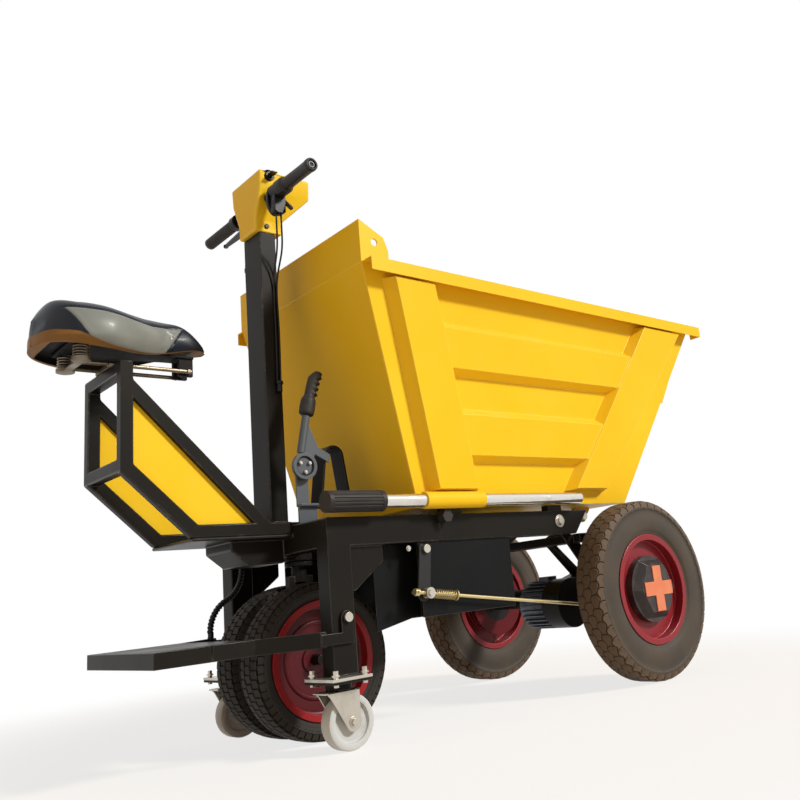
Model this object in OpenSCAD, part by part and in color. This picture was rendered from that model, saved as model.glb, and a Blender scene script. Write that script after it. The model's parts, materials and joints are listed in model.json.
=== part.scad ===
// Ride-on tipping site buggy with a steel hopper, two drive wheels and a pair of steered wheels.
// +X is forward, towards the end that tips out, +Z is up and the ground is z = 0.
// Lengths along x start at the drive axle, axle_x ahead of the part's middle;
// a name that ends in _back is a distance behind that axle.

/* [Placing] */
// Drive axle ahead of the middle of the part
axle_x = 540; // [530:1:550]
// Clearance of a shaft that turns in a bore
run_gap = 0.05; // [0.02:0.01:0.1]
// Clearance between pieces that pass each other
side_gap = 1; // [0.5:0.1:2]

/* [Drive wheels] */
// Outer radius of a drive tyre
drive_r = 265; // [258:0.5:266]
// Width of a drive tyre
drive_tyre_w = 95; // [88:1:96]
// Outer face of a drive tyre off the middle plane
drive_face_y = 403; // [402:1:420]
// Flange radius of a drive rim
drive_rim_r = 162; // [150:1:168]
// Recess of a drive rim's disc behind its flange
drive_dish = 30; // [24:1:36]
// Radius of a hub cap
cap_r = 98; // [85:1:104]
// How far a hub cap stands out past the tyre
cap_proud = 8; // [4:0.5:12]
// Depth of a hub cap's faceted front
cap_crown = 22; // [14:1:26]
// Raised height of the plus on a hub cap
plus_t = 3; // [2:0.5:4]
// Arm length of the plus from its middle
plus_l = 66; // [50:1:66]
// Arm width of the plus
plus_w = 40; // [30:1:40]

/* [Steered wheels] */
// Drive axle to the steering axis
steer_back = 983; // [975:1:990]
// Outer radius of a steered tyre
twin_r = 189.5; // [184:0.5:190]
// Width of a steered tyre
twin_tyre_w = 95; // [88:1:96]
// Gap between the two steered tyres
twin_gap = 30; // [26:1:34]
// Flange radius of a steered rim
twin_rim_r = 144; // [136:1:148]
// Recess of a steered rim's disc behind its flange
twin_dish = 34; // [26:1:38]
// Radius of the twin axle
twin_axle_r = 12; // [10:0.5:14]

/* [Tyres and rims] */
// Height of a rim flange over its bead seat
flange_h = 12; // [9:0.5:14]
// Thickness of a rim's sheet
rim_t = 5; // [4:0.5:6]
// Radius of a tyre's shoulder
shoulder_r = 20; // [14:1:24]
// Radius of a wheel's hub
hub_r = 34; // [30:1:38]
// Radius of a drive spindle
spindle_r = 15; // [12:0.5:18]

/* [Rear frame] */
// Rear face of the legs
leg_back = 1064; // [1060:1:1068]
// Leg size along the buggy
leg_d = 65; // [60:1:68]
// Outer face of the legs and beams off the middle plane
beam_y = 271.5; // [268:0.5:274]
// Leg and beam size across the buggy
beam_w = 52; // [48:1:54]
// Underside of the beams
beam_z = 450; // [446:1:452]
// Height of the beams
beam_h = 70; // [66:1:72]
// Underside of the leg feet
foot_z = 154; // [152:1:158]
// Thickness of a foot plate
foot_t = 6; // [5:0.5:7]
// Seam between the rear frame and the front beams,
seam_back = 718; // [700:1:740]
// Gusset reach along a beam from its leg
gusset_x = 102; // [90:1:115]
// Gusset reach down a leg from its beam
gusset_z = 105; // [90:1:115]
// Clipped edge of a gusset
gusset_clip = 40; // [30:1:50]
// Thickness of a gusset
gusset_t = 6; // [4:0.5:8]
// Half width of the seat tongue
tongue_y = 70; // [60:1:80]
// Reach of the seat tongue behind the legs
tongue_x = 143; // [130:1:150]
// Underside of the seat tongue
tongue_z = 431; // [428:1:440]
// Bevel under the tongue along the buggy
tongue_bevel_x = 47; // [40:1:55]
// Bevel under the tongue in height
tongue_bevel_z = 37; // [30:1:42]
// Thickness of the seat base plate
seat_plate_t = 8; // [6:0.5:10]
// Outer radius of the steering head tube
head_tube_r = 36; // [32:1:38]
// Underside of the steering head tube
head_tube_z = 436; // [430:1:440]
// Radius of the kingpin
kingpin_r = 20; // [18:0.5:21]

/* [Front beams] */
// Upper front tip of a front beam
beam_tip_back = 115; // [110:1:125]
// Slope of a front beam's end along the buggy
beam_tip_slope = 62; // [50:1:70]
// Height of the front cross member
cross_h = 27; // [22:1:30]
// Length of the front cross member along the buggy
cross_l = 50; // [40:1:56]
// Hopper hinge over the ground
tip_z = 512; // [508:1:514]
// Radius of the hopper hinge pin
pin_r = 8; // [7:0.5:9]
// Radius of the eyes round the hopper hinge pin
eye_r = 19; // [16:0.5:20]
// Inner face of a hinge bracket off the middle plane
bracket_y = 128; // [120:1:132]
// Thickness of a hinge bracket
bracket_t = 12; // [10:0.5:14]
// Thickness of an axle hanger
hanger_t = 8; // [6:0.5:10]
// Inner face of an axle hanger off the middle plane
hanger_y = 236; // [230:1:240]
// Half width of the middle strut
strut_y = 14; // [10:1:16]
// Thickness of the middle strut
strut_t = 22; // [18:1:26]

/* [Bolts] */
// Radius of a hinge bolt's shank
bolt_r = 7; // [6:0.5:8]
// Head radius of a bolt
bolt_head_r = 11; // [9.5:0.5:12]
// Head height of a bolt
bolt_head_h = 8; // [6:0.5:9]
// Radius of a beam washer
washer_r = 19; // [16:0.5:20]
// Thickness of a beam washer
washer_t = 3; // [2:0.5:4]
// Beam bolt
beam_bolt_back = 249; // [230:1:260]
// Beam bolt over the ground
beam_bolt_z = 489; // [480:1:495]
// Sunk length of a bolt's shank
bolt_sunk = 30; // [20:1:35]

/* [Battery box] */
// Rear edge of the box's side skins
box_skin_back = 790; // [785:1:800]
// Rear wall of the box
box_back = 758; // [750:1:760]
// Front wall of the box
box_front_back = 462; // [450:1:470]
// Underside of the box
box_z = 264; // [258:1:270]
// Half width of the box
box_y = 265; // [262:1:267]
// Thickness of the box's sheet
sheet_t = 4; // [3:0.5:5]
// Battery height in the box
battery_h = 150; // [130:1:160]
// Gap round the batteries
battery_gap = 6; // [4:0.5:10]
// Middle plane to the inner wheel guards
guard_y = 213; // [211:1:216]
// Rear edge of the wheel guards
guard_back = 900; // [890:1:905]
// Drop of a wheel guard's lower edge towards the rear
guard_drop = 22; // [15:1:26]

/* [Drive unit] */
// Radius of the axle tube
axle_tube_r = 32; // [28:1:36]
// Radius of the gear case round the axle
gear_r = 84; // [76:1:88]
// Outer face of the gear case off the middle plane
gear_y = 175; // [165:1:185]
// Width of the gear case
gear_w = 70; // [60:1:76]
// Motor axis
motor_back = 120; // [112:1:126]
// Motor axis below the drive axle
motor_drop = 18; // [13:1:25]
// Motor radius over its fins
motor_r = 75; // [70:1:78]
// Length of the motor
motor_l = 105; // [95:1:112]
// Height of a motor fin
fin_h = 10; // [7:0.5:12]
// Thickness of a motor fin
fin_t = 4; // [3:0.5:5]
// Number of motor fins
fin_count = 28; // [20:2:32]
// Radius of a brake back plate
drum_r = 116; // [112:1:120]
// Inner face of a brake back plate off the middle plane
drum_y = 297; // [296.5:0.5:299]
// Thickness of a brake back plate
drum_t = 6; // [5:0.5:8]

/* [Hopper] */
// Underside of the hopper's floor
hop_z = 538; // [536:1:544]
// Fold of the rear wall over the ground
fold_z = 1171; // [1168:1:1171]
// Top of the rear wall over the ground
hop_top_z = 1290; // [1270:1:1296]
// Rear end of the floor
floor_back = 786; // [770:1:800]
// Front end of the floor ahead of the axle
floor_fwd = 75; // [65:1:85]
// Rear wall at its fold
wall_back = 948; // [942:1:952]
// Front wall at its top ahead of the axle
wall_fwd = 534; // [524:1:540]
// Half width of the floor
floor_y = 275; // [270:1:278]
// Half width at the rim
wall_y = 327.5; // [323:0.5:330]
// Sheet thickness measured level
hop_t = 3; // [2.5:0.5:4]
// Outer face of the rim rail off the middle plane
rim_y = 366; // [360:1:370]
// Front face of the rim rail ahead of the axle
rim_fwd = 555; // [545:1:560]
// Underside of the rim rail
rim_z = 1137; // [1130:1:1140]
// Height of the rim rail
rim_h = 37; // [30:1:40]
// Length of a lifting ear along the buggy
ear_l = 90; // [80:1:100]
// Radius of the hole in a lifting ear
ear_hole_r = 10; // [8:0.5:12]
// How far the stiles stand out of the side wall
relief = 34; // [28:1:36]
// How far the ribs stand out of the side wall
rib_relief = 30; // [22:1:32]
// Slope of a stile's or rib's flank along the wall
flank = 18; // [14:1:22]
// Lower end of the stiles above the floor
stile_rise = 46; // [44:1:54]
// Rear stile at its top: edges behind the axle
stile_a_top = [862, 729]; // [725:1:866]
// Rear stile at its foot: edges behind the axle
stile_a_foot = [736, 601]; // [597:1:740]
// Front stile at its top: edges ahead of the axle
stile_b_top = [221, 427]; // [217:1:431]
// Front stile at its foot: edges ahead of the axle
stile_b_foot = [-192, -49]; // [-196:1:-45]
// Height of the two ribs above the floor: lower edges
rib_low = [136, 373]; // [130:1:380]
// Width of a rib's face
rib_w = 111; // [105:1:116]
// Thickness of the pouring plate on the front wall
pour_t = 14; // [10:1:18]
// Lower edge of the pouring plate over the ground
pour_z = 885; // [870:1:900]

/* [Tipping bar] */
// Bar axis off the middle plane
bar_y = 304; // [303:0.5:306]
// Bar axis over the ground
bar_z = 552; // [551:0.5:556]
// Radius of the bar
bar_r = 17; // [16:0.5:18]
// Radius of the bar's sleeve
sleeve_r = 22; // [21:0.5:22.5]
// Rear end of the bar
bar_back = 1086; // [1080:1:1092]
// Front end of the bar
bar_front_back = 183; // [175:1:195]
// Rear end of the sleeve
sleeve_back = 789; // [784:1:800]
// Length of the sleeve
sleeve_l = 203; // [195:1:210]
// Radius of the bar's rubber grip
bar_grip_r = 26; // [24:0.5:27]
// Length of the bar's rubber grip
bar_grip_l = 164; // [160:1:180]
// Depth of the grip's long grooves
groove_d = 2; // [1:0.25:2.5]
// Number of the grip's long grooves
groove_count = 18; // [12:2:24]
// Radius of the hexagonal bar rest
rest_r = 18; // [15:0.5:19]
// Bar rest
rest_back = 709; // [700:1:716]
// Size of a rubber pad under the hopper
pad_l = 60; // [50:1:70]

/* [Column and head] */
// Rear face of the column
col_back = 1082; // [1078:1:1086]
// Column size along the buggy
col_d = 50; // [46:1:54]
// Half width of the column
col_y = 45; // [42:1:48]
// Wall of the column's tube
col_t = 4; // [3:0.5:5]
// Thickness of the column's base plate
col_plate_t = 10; // [8:0.5:12]
// Top of the column below the head's top
col_top_drop = 172; // [166:1:180]
// Rear face of the head housing
head_back = 1095; // [1090:1:1098]
// Front face of the head housing
head_front_back = 935; // [930:1:945]
// Top of the head housing
head_top_z = 1510; // [1500:1:1516]
// Half width of the head housing
head_y = 83; // [78:1:86]
// Half width of the head housing's neck
neck_y = 47; // [46:1:50]
// Neck front face
neck_front_back = 1011; // [1008:1:1016]
// Head's widening below its top
head_flare_drop = 134; // [126:1:140]
// Head's full width below its top
head_full_drop = 58; // [50:1:65]
// Radius of a head screw
screw_r = 4; // [3:0.5:5]

/* [Handlebar] */
// Handlebar axis
bar2_back = 1062; // [1058:1:1066]
// Handlebar axis below the head's top
bar2_drop = 78; // [72:1:82]
// Radius of the handlebar
bar2_r = 11; // [10:0.5:12]
// Half length of the handlebar with its grips
bar2_y = 299; // [290:1:305]
// Radius of a hand grip
grip_r = 17.5; // [16:0.5:19]
// Inner end of the hand grips off the middle plane
grip_in_y = 132; // [128:1:140]
// Radius of the twist grip's inner drum
drum_grip_r = 24; // [22:0.5:25]
// Length of the twist grip's inner drum
drum_grip_l = 34; // [28:1:38]
// Thickness of the clamp collars on the handlebar
clamp_l = 24; // [20:1:26]
// Radius of the clamp collars
clamp_r = 22; // [20:0.5:23]
// Drop of the switch pod below the handlebar
pod_drop = 66; // [55:1:72]
// Half width of the switch pod along the buggy
pod_x = 15; // [13:0.5:17]
// Length of the thumb lever
thumb_l = 42; // [36:1:46]
// Radius of the thumb lever
thumb_r = 6; // [5:0.25:7]
// Reach of the hand lever in front of the handlebar
lever_x = 49; // [44:1:54]
// Thickness of the hand lever's blade
lever_t = 9; // [7:0.5:10]
// Radius of the key lock
lock_r = 13; // [11:0.5:14]
// Key lock
lock_back = 1064; // [1054:1:1070]
// Key lock below the head's top
lock_drop = 16; // [14:1:26]
// Length of the key's bow
key_l = 22; // [18:1:26]

/* [Handbrake] */
// Handbrake pivot
hb_back = 1041; // [1036:1:1046]
// Handbrake pivot over the ground
hb_z = 662; // [655:1:668]
// Handbrake plane off the middle plane
hb_y = 140; // [136:1:146]
// Radius of the handbrake's pivot ring
hb_ring_r = 34; // [30:1:36]
// Radius of the handbrake's pivot
hb_pin_r = 10; // [8:0.5:12]
// Thickness of the handbrake's plates
hb_t = 6; // [5:0.5:7]
// Radius of the lever's tube
hb_tube_r = 10.5; // [9:0.5:12]
// Length of the lever's tube
hb_tube_l = 100; // [92:1:108]
// Radius of the finger grip
hb_grip_r = 19; // [16:0.5:20]
// Length of the finger grip
hb_grip_l = 114; // [105:1:120]
// Number of finger ridges
hb_ridges = 5; // [4:1:6]
// Guard hoop's strap across the buggy
hoop_b = 52; // [45:1:56]
// Guard hoop height above the handbrake's foot
hoop_h = 154; // [140:1:165]
// Guard hoop's width at its foot
hoop_w = 95; // [85:1:105]
// Outer radius of the guard hoop's top
hoop_r = 30; // [26:0.5:34]
// Middle of the guard hoop
hoop_back = 941; // [936:1:946]

/* [Brake linkage] */
// Brake arm pivot
arm_back = 773; // [768:1:776]
// Brake arm pivot over the ground
arm_z = 432; // [428:1:434]
// Brake arm length between its pins
arm_l = 111; // [105:1:116]
// Brake arm width
arm_w = 38; // [34:1:42]
// Thickness of the brake arm
arm_t = 7; // [6:0.5:8]
// Slope of the pull rod below level
rod_slope = 7.8; // [7:0.1:8.5]
// Length of the pull rod between its pins
rod_l = 686; // [680:1:690]
// Radius of the pull rod
rod_r = 4.5; // [4:0.25:5]
// Pull rod plane off the middle plane
rod_y = 288; // [287:0.5:288.5]
// Length of the brake cam lever
cam_l = 70; // [64:1:74]
// Slack of the rod's pins
link_gap = 1.6; // [1.4:0.1:2]
// Length of the rod's spring
spring_l = 70; // [60:1:76]
// Radius of the rod's spring at its wire's middle
spring_r = 11; // [10:0.5:12]
// Wire of the rod's spring
spring_wire = 3; // [2.5:0.25:3.5]
// Turns of the rod's spring
spring_turns = 10; // [8:1:11]

/* [Casters] */
// Swivel axis
caster_back = 1050; // [1046:1:1054]
// Swivel axis off the middle plane
caster_y = 262; // [258:1:266]
// Trail of a caster's wheel
caster_trail = 18; // [12:1:22]
// Radius of a caster's wheel
caster_r = 61; // [58:0.5:62]
// Width of a caster's wheel
caster_w = 38; // [34:1:40]
// Radius of a caster's axle
caster_axle_r = 6; // [5:0.5:7]
// Foot plate size along the buggy
plate_l = 105; // [98:1:112]
// Foot plate size across the buggy
plate_w = 118; // [110:1:124]
// Bolt spacing of a foot plate along the buggy
bolt_l = 77; // [70:1:82]
// Bolt spacing of a foot plate across the buggy
bolt_w = 99; // [98:0.5:101]
// Radius of a swivel race
race_r = 30; // [26:1:33]
// Height of a swivel race
race_h = 16; // [14:0.5:17]
// Radius of a swivel stem
stem_r = 8; // [7:0.5:9]
// Thickness of a caster fork's sheet
fork_t = 4; // [3:0.5:5]
// Gap between a fork cheek and its wheel
fork_gap = 3; // [2:0.5:4]

/* [Foot platform] */
// Platform end
foot_back = 1449; // [1440:1:1456]
// Tray front edge
tray_front_back = 1222; // [1218:1:1230]
// Half width of the platform
foot_y = 198; // [194:1:200]
// Top of the platform
foot_top_z = 262; // [258:1:266]
// Height of the platform's edge
foot_h = 35; // [30:1:38]
// Sheet of the platform
foot_sheet = 5; // [4:0.5:6]
// Seam across the platform
foot_seam_back = 1320; // [1300:1:1340]
// Thickness of a platform arm
foot_arm_t = 8; // [6:0.5:9]
// Platform hinge
fold_back = 1028; // [1024:1:1034]
// Platform hinge over the ground
fold_hinge_z = 288; // [284:1:292]
// Half width of a hinge bracket's limbs
limb_r = 16; // [14:0.5:17]
// Hinge bracket's toe
toe_back = 1100; // [1094:1:1104]
// Middle height of a hinge bracket's toe
toe_z = 243; // [240:1:246]
// Thickness of a hinge bracket
limb_t = 8; // [7:0.5:9]

/* [Loom] */
// Radius of the two bends in the wrapped loom
loom_bend = 86; // [80:1:88]
// Turn of each bend in degrees
loom_angle = 63; // [56:1:66]
// Radius of the loom's tube
loom_r = 6.5; // [6:0.25:7]
// Radius over the loom's wrapping ribs
loom_rib_r = 8.5; // [8:0.25:9]
// Bore of the loom's tube
loom_bore_r = 4; // [3:0.25:5]
// Number of wrapping ribs
loom_ribs = 18; // [12:1:20]
// Loom plane off the middle plane
loom_y = 194; // [190:0.5:198]
// Lower end of the loom
loom_low_back = 1140; // [1134:1:1146]
// Lower end of the loom above the platform
loom_low_z = 1; // [0.5:0.5:2]

/* [Seat frame] */
// Rear face of the seat frame
seat_back = 1487; // [1480:1:1492]
// Outer faces of the seat frame off the middle plane
seat_y = 118; // [114:1:120]
// Tube size of the seat frame in its side view
seat_tube = 30; // [28:1:32]
// Tube size of the seat frame across the buggy
seat_tube_w = 25; // [22:1:28]
// Top of the seat posts
seat_top_z = 906; // [902:1:908]
// Lower rear corner of the seat frame over the ground
seat_corner_z = 650; // [640:1:660]
// Lower bend, as a share of the seat's reach
bend_share = 0.615; // [0.6:0.005:0.63]
// Underside of the seat frame's bottom tubes
seat_low_z = 498; // [494:1:500]
// Upper end of the sloping tube over the ground
seat_slope_z = 862; // [850:1:870]
// Foot of the sloping tube, as such a share
slope_share = 0.142; // [0.13:0.002:0.15]
// Thickness of the seat frame's yellow panels
panel_t = 3; // [2:0.5:4]

/* [Saddle] */
// Tail of the saddle behind the seat frame
saddle_over = 148; // [143:1:153]
// Length of the saddle
saddle_l = 404; // [396:1:410]
// Half width of the saddle's rear
saddle_y = 140; // [132:1:144]
// Half width of the saddle's nose
nose_y = 46; // [42:1:50]
// Crown of the saddle's rear over the ground
saddle_top_z = 1064; // [1058:1:1070]
// Drop of the saddle's crown to its waist
saddle_dip = 18; // [12:1:22]
// Drop of the crown over the nose tip
nose_drop = 70; // [60:1:76]
// Widest line of the saddle over the ground at its rear
saddle_edge_z = 955; // [948:1:960]
// Rise of the widest line towards the nose
edge_rise = 28; // [20:1:34]
// Lip under the saddle's rear over the ground
saddle_lip_z = 930; // [926:1:934]
// Rise of the lip towards the nose
lip_rise = 40; // [36:1:42]
// Roof of the saddle's hollow over the ground
hollow_z = 958; // [954:1:962]
// Thickness of the saddle's shell
shell_t = 6; // [5:0.5:7]
// Saddle's rocking pivot behind its nose
rock_in = 59; // [54:1:64]
// Rail axis over the ground
rail_z = 916; // [914:1:918]
// Radius of a saddle rail
rail_r = 4.5; // [4:0.25:5]
// Saddle spring behind the seat frame
coil_over = 65; // [61:1:69]
// Saddle spring off the middle plane
coil_y = 56; // [52:1:60]
// Radius of a saddle spring at its wire's middle
coil_r = 17; // [15:0.5:18]
// Wire of a saddle spring
coil_wire = 4; // [3.5:0.25:4.5]
// Turns of a saddle spring
coil_turns = 4; // [3:1:5]

/* [Cables] */
// Radius of a control cable
cable_r = 2.5; // [2:0.25:3]

/* [Hidden] */
$fn = 48;
yellow = "#e8b01c";
black = "#202224";
red = "#7d1f2a";
rubber = "#3a3836";
steel = "#b9bcbf";
grey = "#6f7378";
nylon = "#e9e6da";
beam_top_z = beam_z + beam_h;
motor_z = drive_r - motor_drop;
col_top_z = head_top_z - col_top_drop;
head_flare_z = head_top_z - head_flare_drop;
head_full_z = head_top_z - head_full_drop;
bar2_z = head_top_z - bar2_drop;
lock_z = head_top_z - lock_drop;
seat_bend_back = leg_back + (seat_back - leg_back) * bend_share;
seat_slope_back = leg_back + (seat_back - leg_back) * slope_share;
coil_back = seat_back + coil_over;
saddle_back = seat_back + saddle_over;
rock_back = saddle_back - saddle_l + rock_in;
leg_front_back = leg_back - leg_d;
leg_y = beam_y - beam_w / 2;
drive_y = drive_face_y - drive_tyre_w / 2;
twin_y = twin_gap / 2 + twin_tyre_w / 2;
bead_share = 0.38;
cross_x = -beam_tip_back - cross_l;
cross_z = beam_z - cross_h;
wall_slope = (wall_y - floor_y) / (fold_z - hop_z);
wall_tilt = atan(wall_slope);
slant = 1 / cos(wall_tilt);
front_slope = (wall_fwd - floor_fwd) / (fold_z - hop_z);
rear_slope = (wall_back - floor_back) / (fold_z - hop_z);
stile_top = (rim_z - hop_z) * slant;
sink = hop_t / 2;
col_plate_z = beam_top_z + 4 * side_gap;
arm_pin_x = -arm_back - arm_l * sin(rod_slope);
arm_pin_z = arm_z - arm_l * cos(rod_slope);
cam_pin_x = arm_pin_x + rod_l * cos(rod_slope);
cam_pin_z = arm_pin_z - rod_l * sin(rod_slope);
cam_x = cam_pin_x + cam_l * sin(rod_slope);
cam_z = cam_pin_z + cam_l * cos(rod_slope);
caster_wheel_x = -caster_back + caster_trail;
caster_plate_z = foot_z - foot_t;
crown_z = caster_plate_z - race_h - side_gap / 2;
hb_lean = 12;
hb_foot_z = beam_top_z + 8 * hb_t;
hoop_near = hb_y - hb_t / 2 - 2 * side_gap;
thumb_fall = 45;
thumb_y = -grip_in_y + side_gap + clamp_l / 2;
thumb_z = bar2_z - pod_drop * 0.42;
coil_z = rail_z + rail_r;
coil_h = hollow_z - shell_t - coil_z;
loom_step = 2 * loom_bend * [-cos(loom_angle), 0, sin(loom_angle)];
loom_straight = (beam_z - foot_top_z - loom_low_z - loom_step.z) / 2;

// Shared shapes
module ahead() translate([axle_x, 0, 0]) children();
module both() {
    children();
    mirror([0, 1, 0]) children();
}
module slab(a, b) translate(a) cube(b - a);
module rod_y(x, z, r, y0, y1) translate([x, y0, z]) rotate([-90, 0, 0]) cylinder(r = r, h = y1 - y0);
module rod_z(x, y, r, z0, z1) translate([x, y, z0]) cylinder(r = r, h = z1 - z0);
module rod_x(y, z, r, x0, x1) translate([x0, y, z]) rotate([0, 90, 0]) cylinder(r = r, h = x1 - x0);
module ring_y(x, z, ro, ri, y0, y1) difference() {
    rod_y(x, z, ro, y0, y1);
    rod_y(x, z, ri, y0 - side_gap, y1 + side_gap);
}
module plate_y(points, y0, y1) translate([0, y1, 0]) rotate([90, 0, 0]) linear_extrude(y1 - y0) polygon(points);
module plate_x(points, x0, x1) translate([x0, 0, 0]) rotate([90, 0, 90]) linear_extrude(x1 - x0) polygon(points);
// Swept tubes
function unit(v) = v / norm(v);
function heading(p, i) = unit(p[min(i + 1, len(p) - 1)] - p[max(i - 1, 0)]);
function ring_points(p, i, r, sides, up) =
    let (t = heading(p, i), n = is_undef(up) ? unit([p[i].x, p[i].y, 0]) : unit(cross(up, t)), b = cross(t, n))
    [for (k = [0 : sides - 1]) p[i] + r * (cos(360 * k / sides) * n + sin(360 * k / sides) * b)];
module swept_tube(p, r, sides, up) {
    last = len(p) - 1;
    points = [for (i = [0 : last]) each ring_points(p, i, r, sides, up)];
    walls = [for (i = [0 : last - 1], k = [0 : sides - 1]) let (a = i * sides + k, b = i * sides + (k + 1) % sides)
        each [[a, a + sides, b], [b, a + sides, b + sides]]];
    ends = [for (k = [1 : sides - 2]) each [[0, k, k + 1], [last * sides, last * sides + k + 1, last * sides + k]]];
    polyhedron(points = points, faces = concat(walls, ends));
}
module swept_hose(p, radii, bore, sides, up) {
    last = len(p) - 1;
    in = len(p) * sides;
    far = last * sides;
    points = concat([for (i = [0 : last]) each ring_points(p, i, radii[i], sides, up)],
        [for (i = [0 : last]) each ring_points(p, i, bore, sides, up)]);
    walls = [for (i = [0 : last - 1], k = [0 : sides - 1]) let (a = i * sides + k, b = i * sides + (k + 1) % sides)
        each [[a, a + sides, b], [b, a + sides, b + sides],
            [in + a, in + b, in + a + sides], [in + b, in + b + sides, in + a + sides]]];
    ends = [for (k = [0 : sides - 1]) let (n = (k + 1) % sides) each [[k, n, in + k], [n, in + n, in + k],
        [far + k, in + far + k, far + n], [far + n, in + far + k, in + far + n]]];
    polyhedron(points = points, faces = concat(walls, ends));
}
function coil_points(r, h, turns, rings, wire) = concat(
    [[r, 0, -wire]],
    [for (i = [0 : turns * rings]) let (a = 360 * i / rings) [r * cos(a), r * sin(a), h * i / (turns * rings)]],
    [[r * cos(360 * turns), r * sin(360 * turns), h + wire]]);
function self_gap(p, wire, skip) = min([for (i = [0 : len(p) - 1], j = [0 : len(p) - 1])
    if (j > i + skip) norm(p[i] - p[j])]) - wire;

// Tyres and rims turn about y, outer side towards +y
function tyre_half(r, w, rim) = concat(
    [[rim - flange_h, w * bead_share], [rim + side_gap, w * bead_share], [(r + rim) / 2, w / 2]],
    [for (a = [90 : -15 : 0]) [r - shoulder_r + shoulder_r * cos(a), w / 2 - shoulder_r + shoulder_r * sin(a)]]);
module spin_y() rotate([-90, 0, 0]) rotate_extrude() children();
module tyre(r, w, rim) {
    half = tyre_half(r, w, rim);
    back = [for (i = [len(half) - 1 : -1 : 0]) [half[i].x, -half[i].y]];
    color(rubber) spin_y() polygon(concat(half, back));
}
module rim(rim, w, dish, bore, well) {
    seat = w * bead_share;
    low = rim - flange_h;
    disc_y = seat + rim_t - dish;
    color(red) {
        ring_y(0, 0, low, low - rim_t, -seat - rim_t, seat + rim_t);
        ring_y(0, 0, rim, low - rim_t, seat, seat + rim_t);
        ring_y(0, 0, rim, low - rim_t, -seat - rim_t, -seat);
        ring_y(0, 0, low - rim_t, well, disc_y - rim_t, disc_y);
        ring_y(0, 0, well + rim_t, well, disc_y - dish / 2, disc_y);
        ring_y(0, 0, well + rim_t, bore, disc_y - dish / 2 - rim_t, disc_y - dish / 2);
        ring_y(0, 0, hub_r, bore, -seat, disc_y - dish / 2 + rim_t);
    }
}
module drive_place(side) ahead() translate([0, side * drive_y, drive_r]) mirror([0, (1 - side) / 2, 0]) children();
module twin_place(side) ahead() translate([-steer_back, side * twin_y, twin_r])
    mirror([0, (1 - side) / 2, 0]) children();
module drive_tyre(side) drive_place(side) tyre(drive_r, drive_tyre_w, drive_rim_r);
module twin_tyre(side) twin_place(side) tyre(twin_r, twin_tyre_w, twin_rim_r);
module drive_rim(side) drive_place(side)
    rim(drive_rim_r, drive_tyre_w, drive_dish, spindle_r + run_gap, cap_r - flange_h);
module twin_rim(side) twin_place(side)
    rim(twin_rim_r, twin_tyre_w, twin_dish, twin_axle_r + run_gap, hub_r + drive_dish);

// Hub cap: round skirt, six-sided crown and a plain moulded plus
module hub_cap(side) {
    seat = drive_tyre_w * bead_share + rim_t - drive_dish;
    face = drive_tyre_w / 2 + cap_proud;
    face_share = 0.8;
    drive_place(side) {
        color(black) rod_y(0, 0, cap_r, seat, face - cap_crown);
        color(black) translate([0, face - cap_crown, 0]) rotate([-90, 0, 0])
            cylinder(r1 = cap_r, r2 = cap_r * face_share, h = cap_crown, $fn = 6);
        color("#d98a54") {
            slab([-plus_l, face, -plus_w / 2], [plus_l, face + plus_t, plus_w / 2]);
            slab([-plus_w / 2, face, -plus_l], [plus_w / 2, face + plus_t, plus_l]);
        }
    }
}

// Rear frame: legs, beams, gussets, tongue and steering head tube
module rear_frame() {
    gusset = [[-leg_front_back, beam_z], [-leg_front_back + gusset_x, beam_z],
        [-leg_front_back + gusset_x, beam_z - gusset_clip],
        [-leg_front_back + gusset_x - gusset_x * 0.85, beam_z - gusset_z], [-leg_front_back, beam_z - gusset_z]];
    tongue = [[-leg_back, tongue_z], [-leg_back - tongue_x + tongue_bevel_x, tongue_z],
        [-leg_back - tongue_x, tongue_z + tongue_bevel_z], [-leg_back - tongue_x, seat_low_z - seat_plate_t],
        [-leg_back, seat_low_z - seat_plate_t]];
    ahead() color(black) difference() {
        union() {
            both() {
                slab([-leg_back, beam_y - beam_w, foot_z], [-leg_front_back, beam_y, beam_top_z]);
                slab([-leg_front_back, beam_y - beam_w, beam_z], [-seam_back, beam_y, beam_top_z]);
                plate_y(gusset, beam_y - gusset_t * 3, beam_y - gusset_t * 2);
                slab([-caster_back - plate_l / 2, caster_y - plate_w / 2, foot_z],
                    [-caster_back + plate_l / 2, caster_y + plate_w / 2, foot_z + foot_t]);
            }
            slab([-leg_back, -beam_y, beam_z], [-leg_front_back, beam_y, beam_top_z]);
            plate_y(tongue, -tongue_y, tongue_y);
            slab([-seat_bend_back, -seat_y, seat_low_z - seat_plate_t], [-leg_back, seat_y, seat_low_z]);
            rod_z(-steer_back, 0, head_tube_r, head_tube_z, beam_top_z);
        }
        rod_z(-steer_back, 0, kingpin_r + run_gap, head_tube_z - side_gap, beam_top_z + side_gap);
        both() {
            rod_y(-fold_back, fold_hinge_z, bolt_r + run_gap, beam_y - bolt_sunk, beam_y + side_gap);
            caster_bolt_places() cylinder(r = screw_r + run_gap, h = 4 * foot_t, center = true);
        }
    }
}
module caster_bolt_places() for (i = [-1, 1], j = [-1, 1])
    translate([-caster_back + i * bolt_l / 2, caster_y + j * bolt_w / 2, foot_z]) children();

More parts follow.
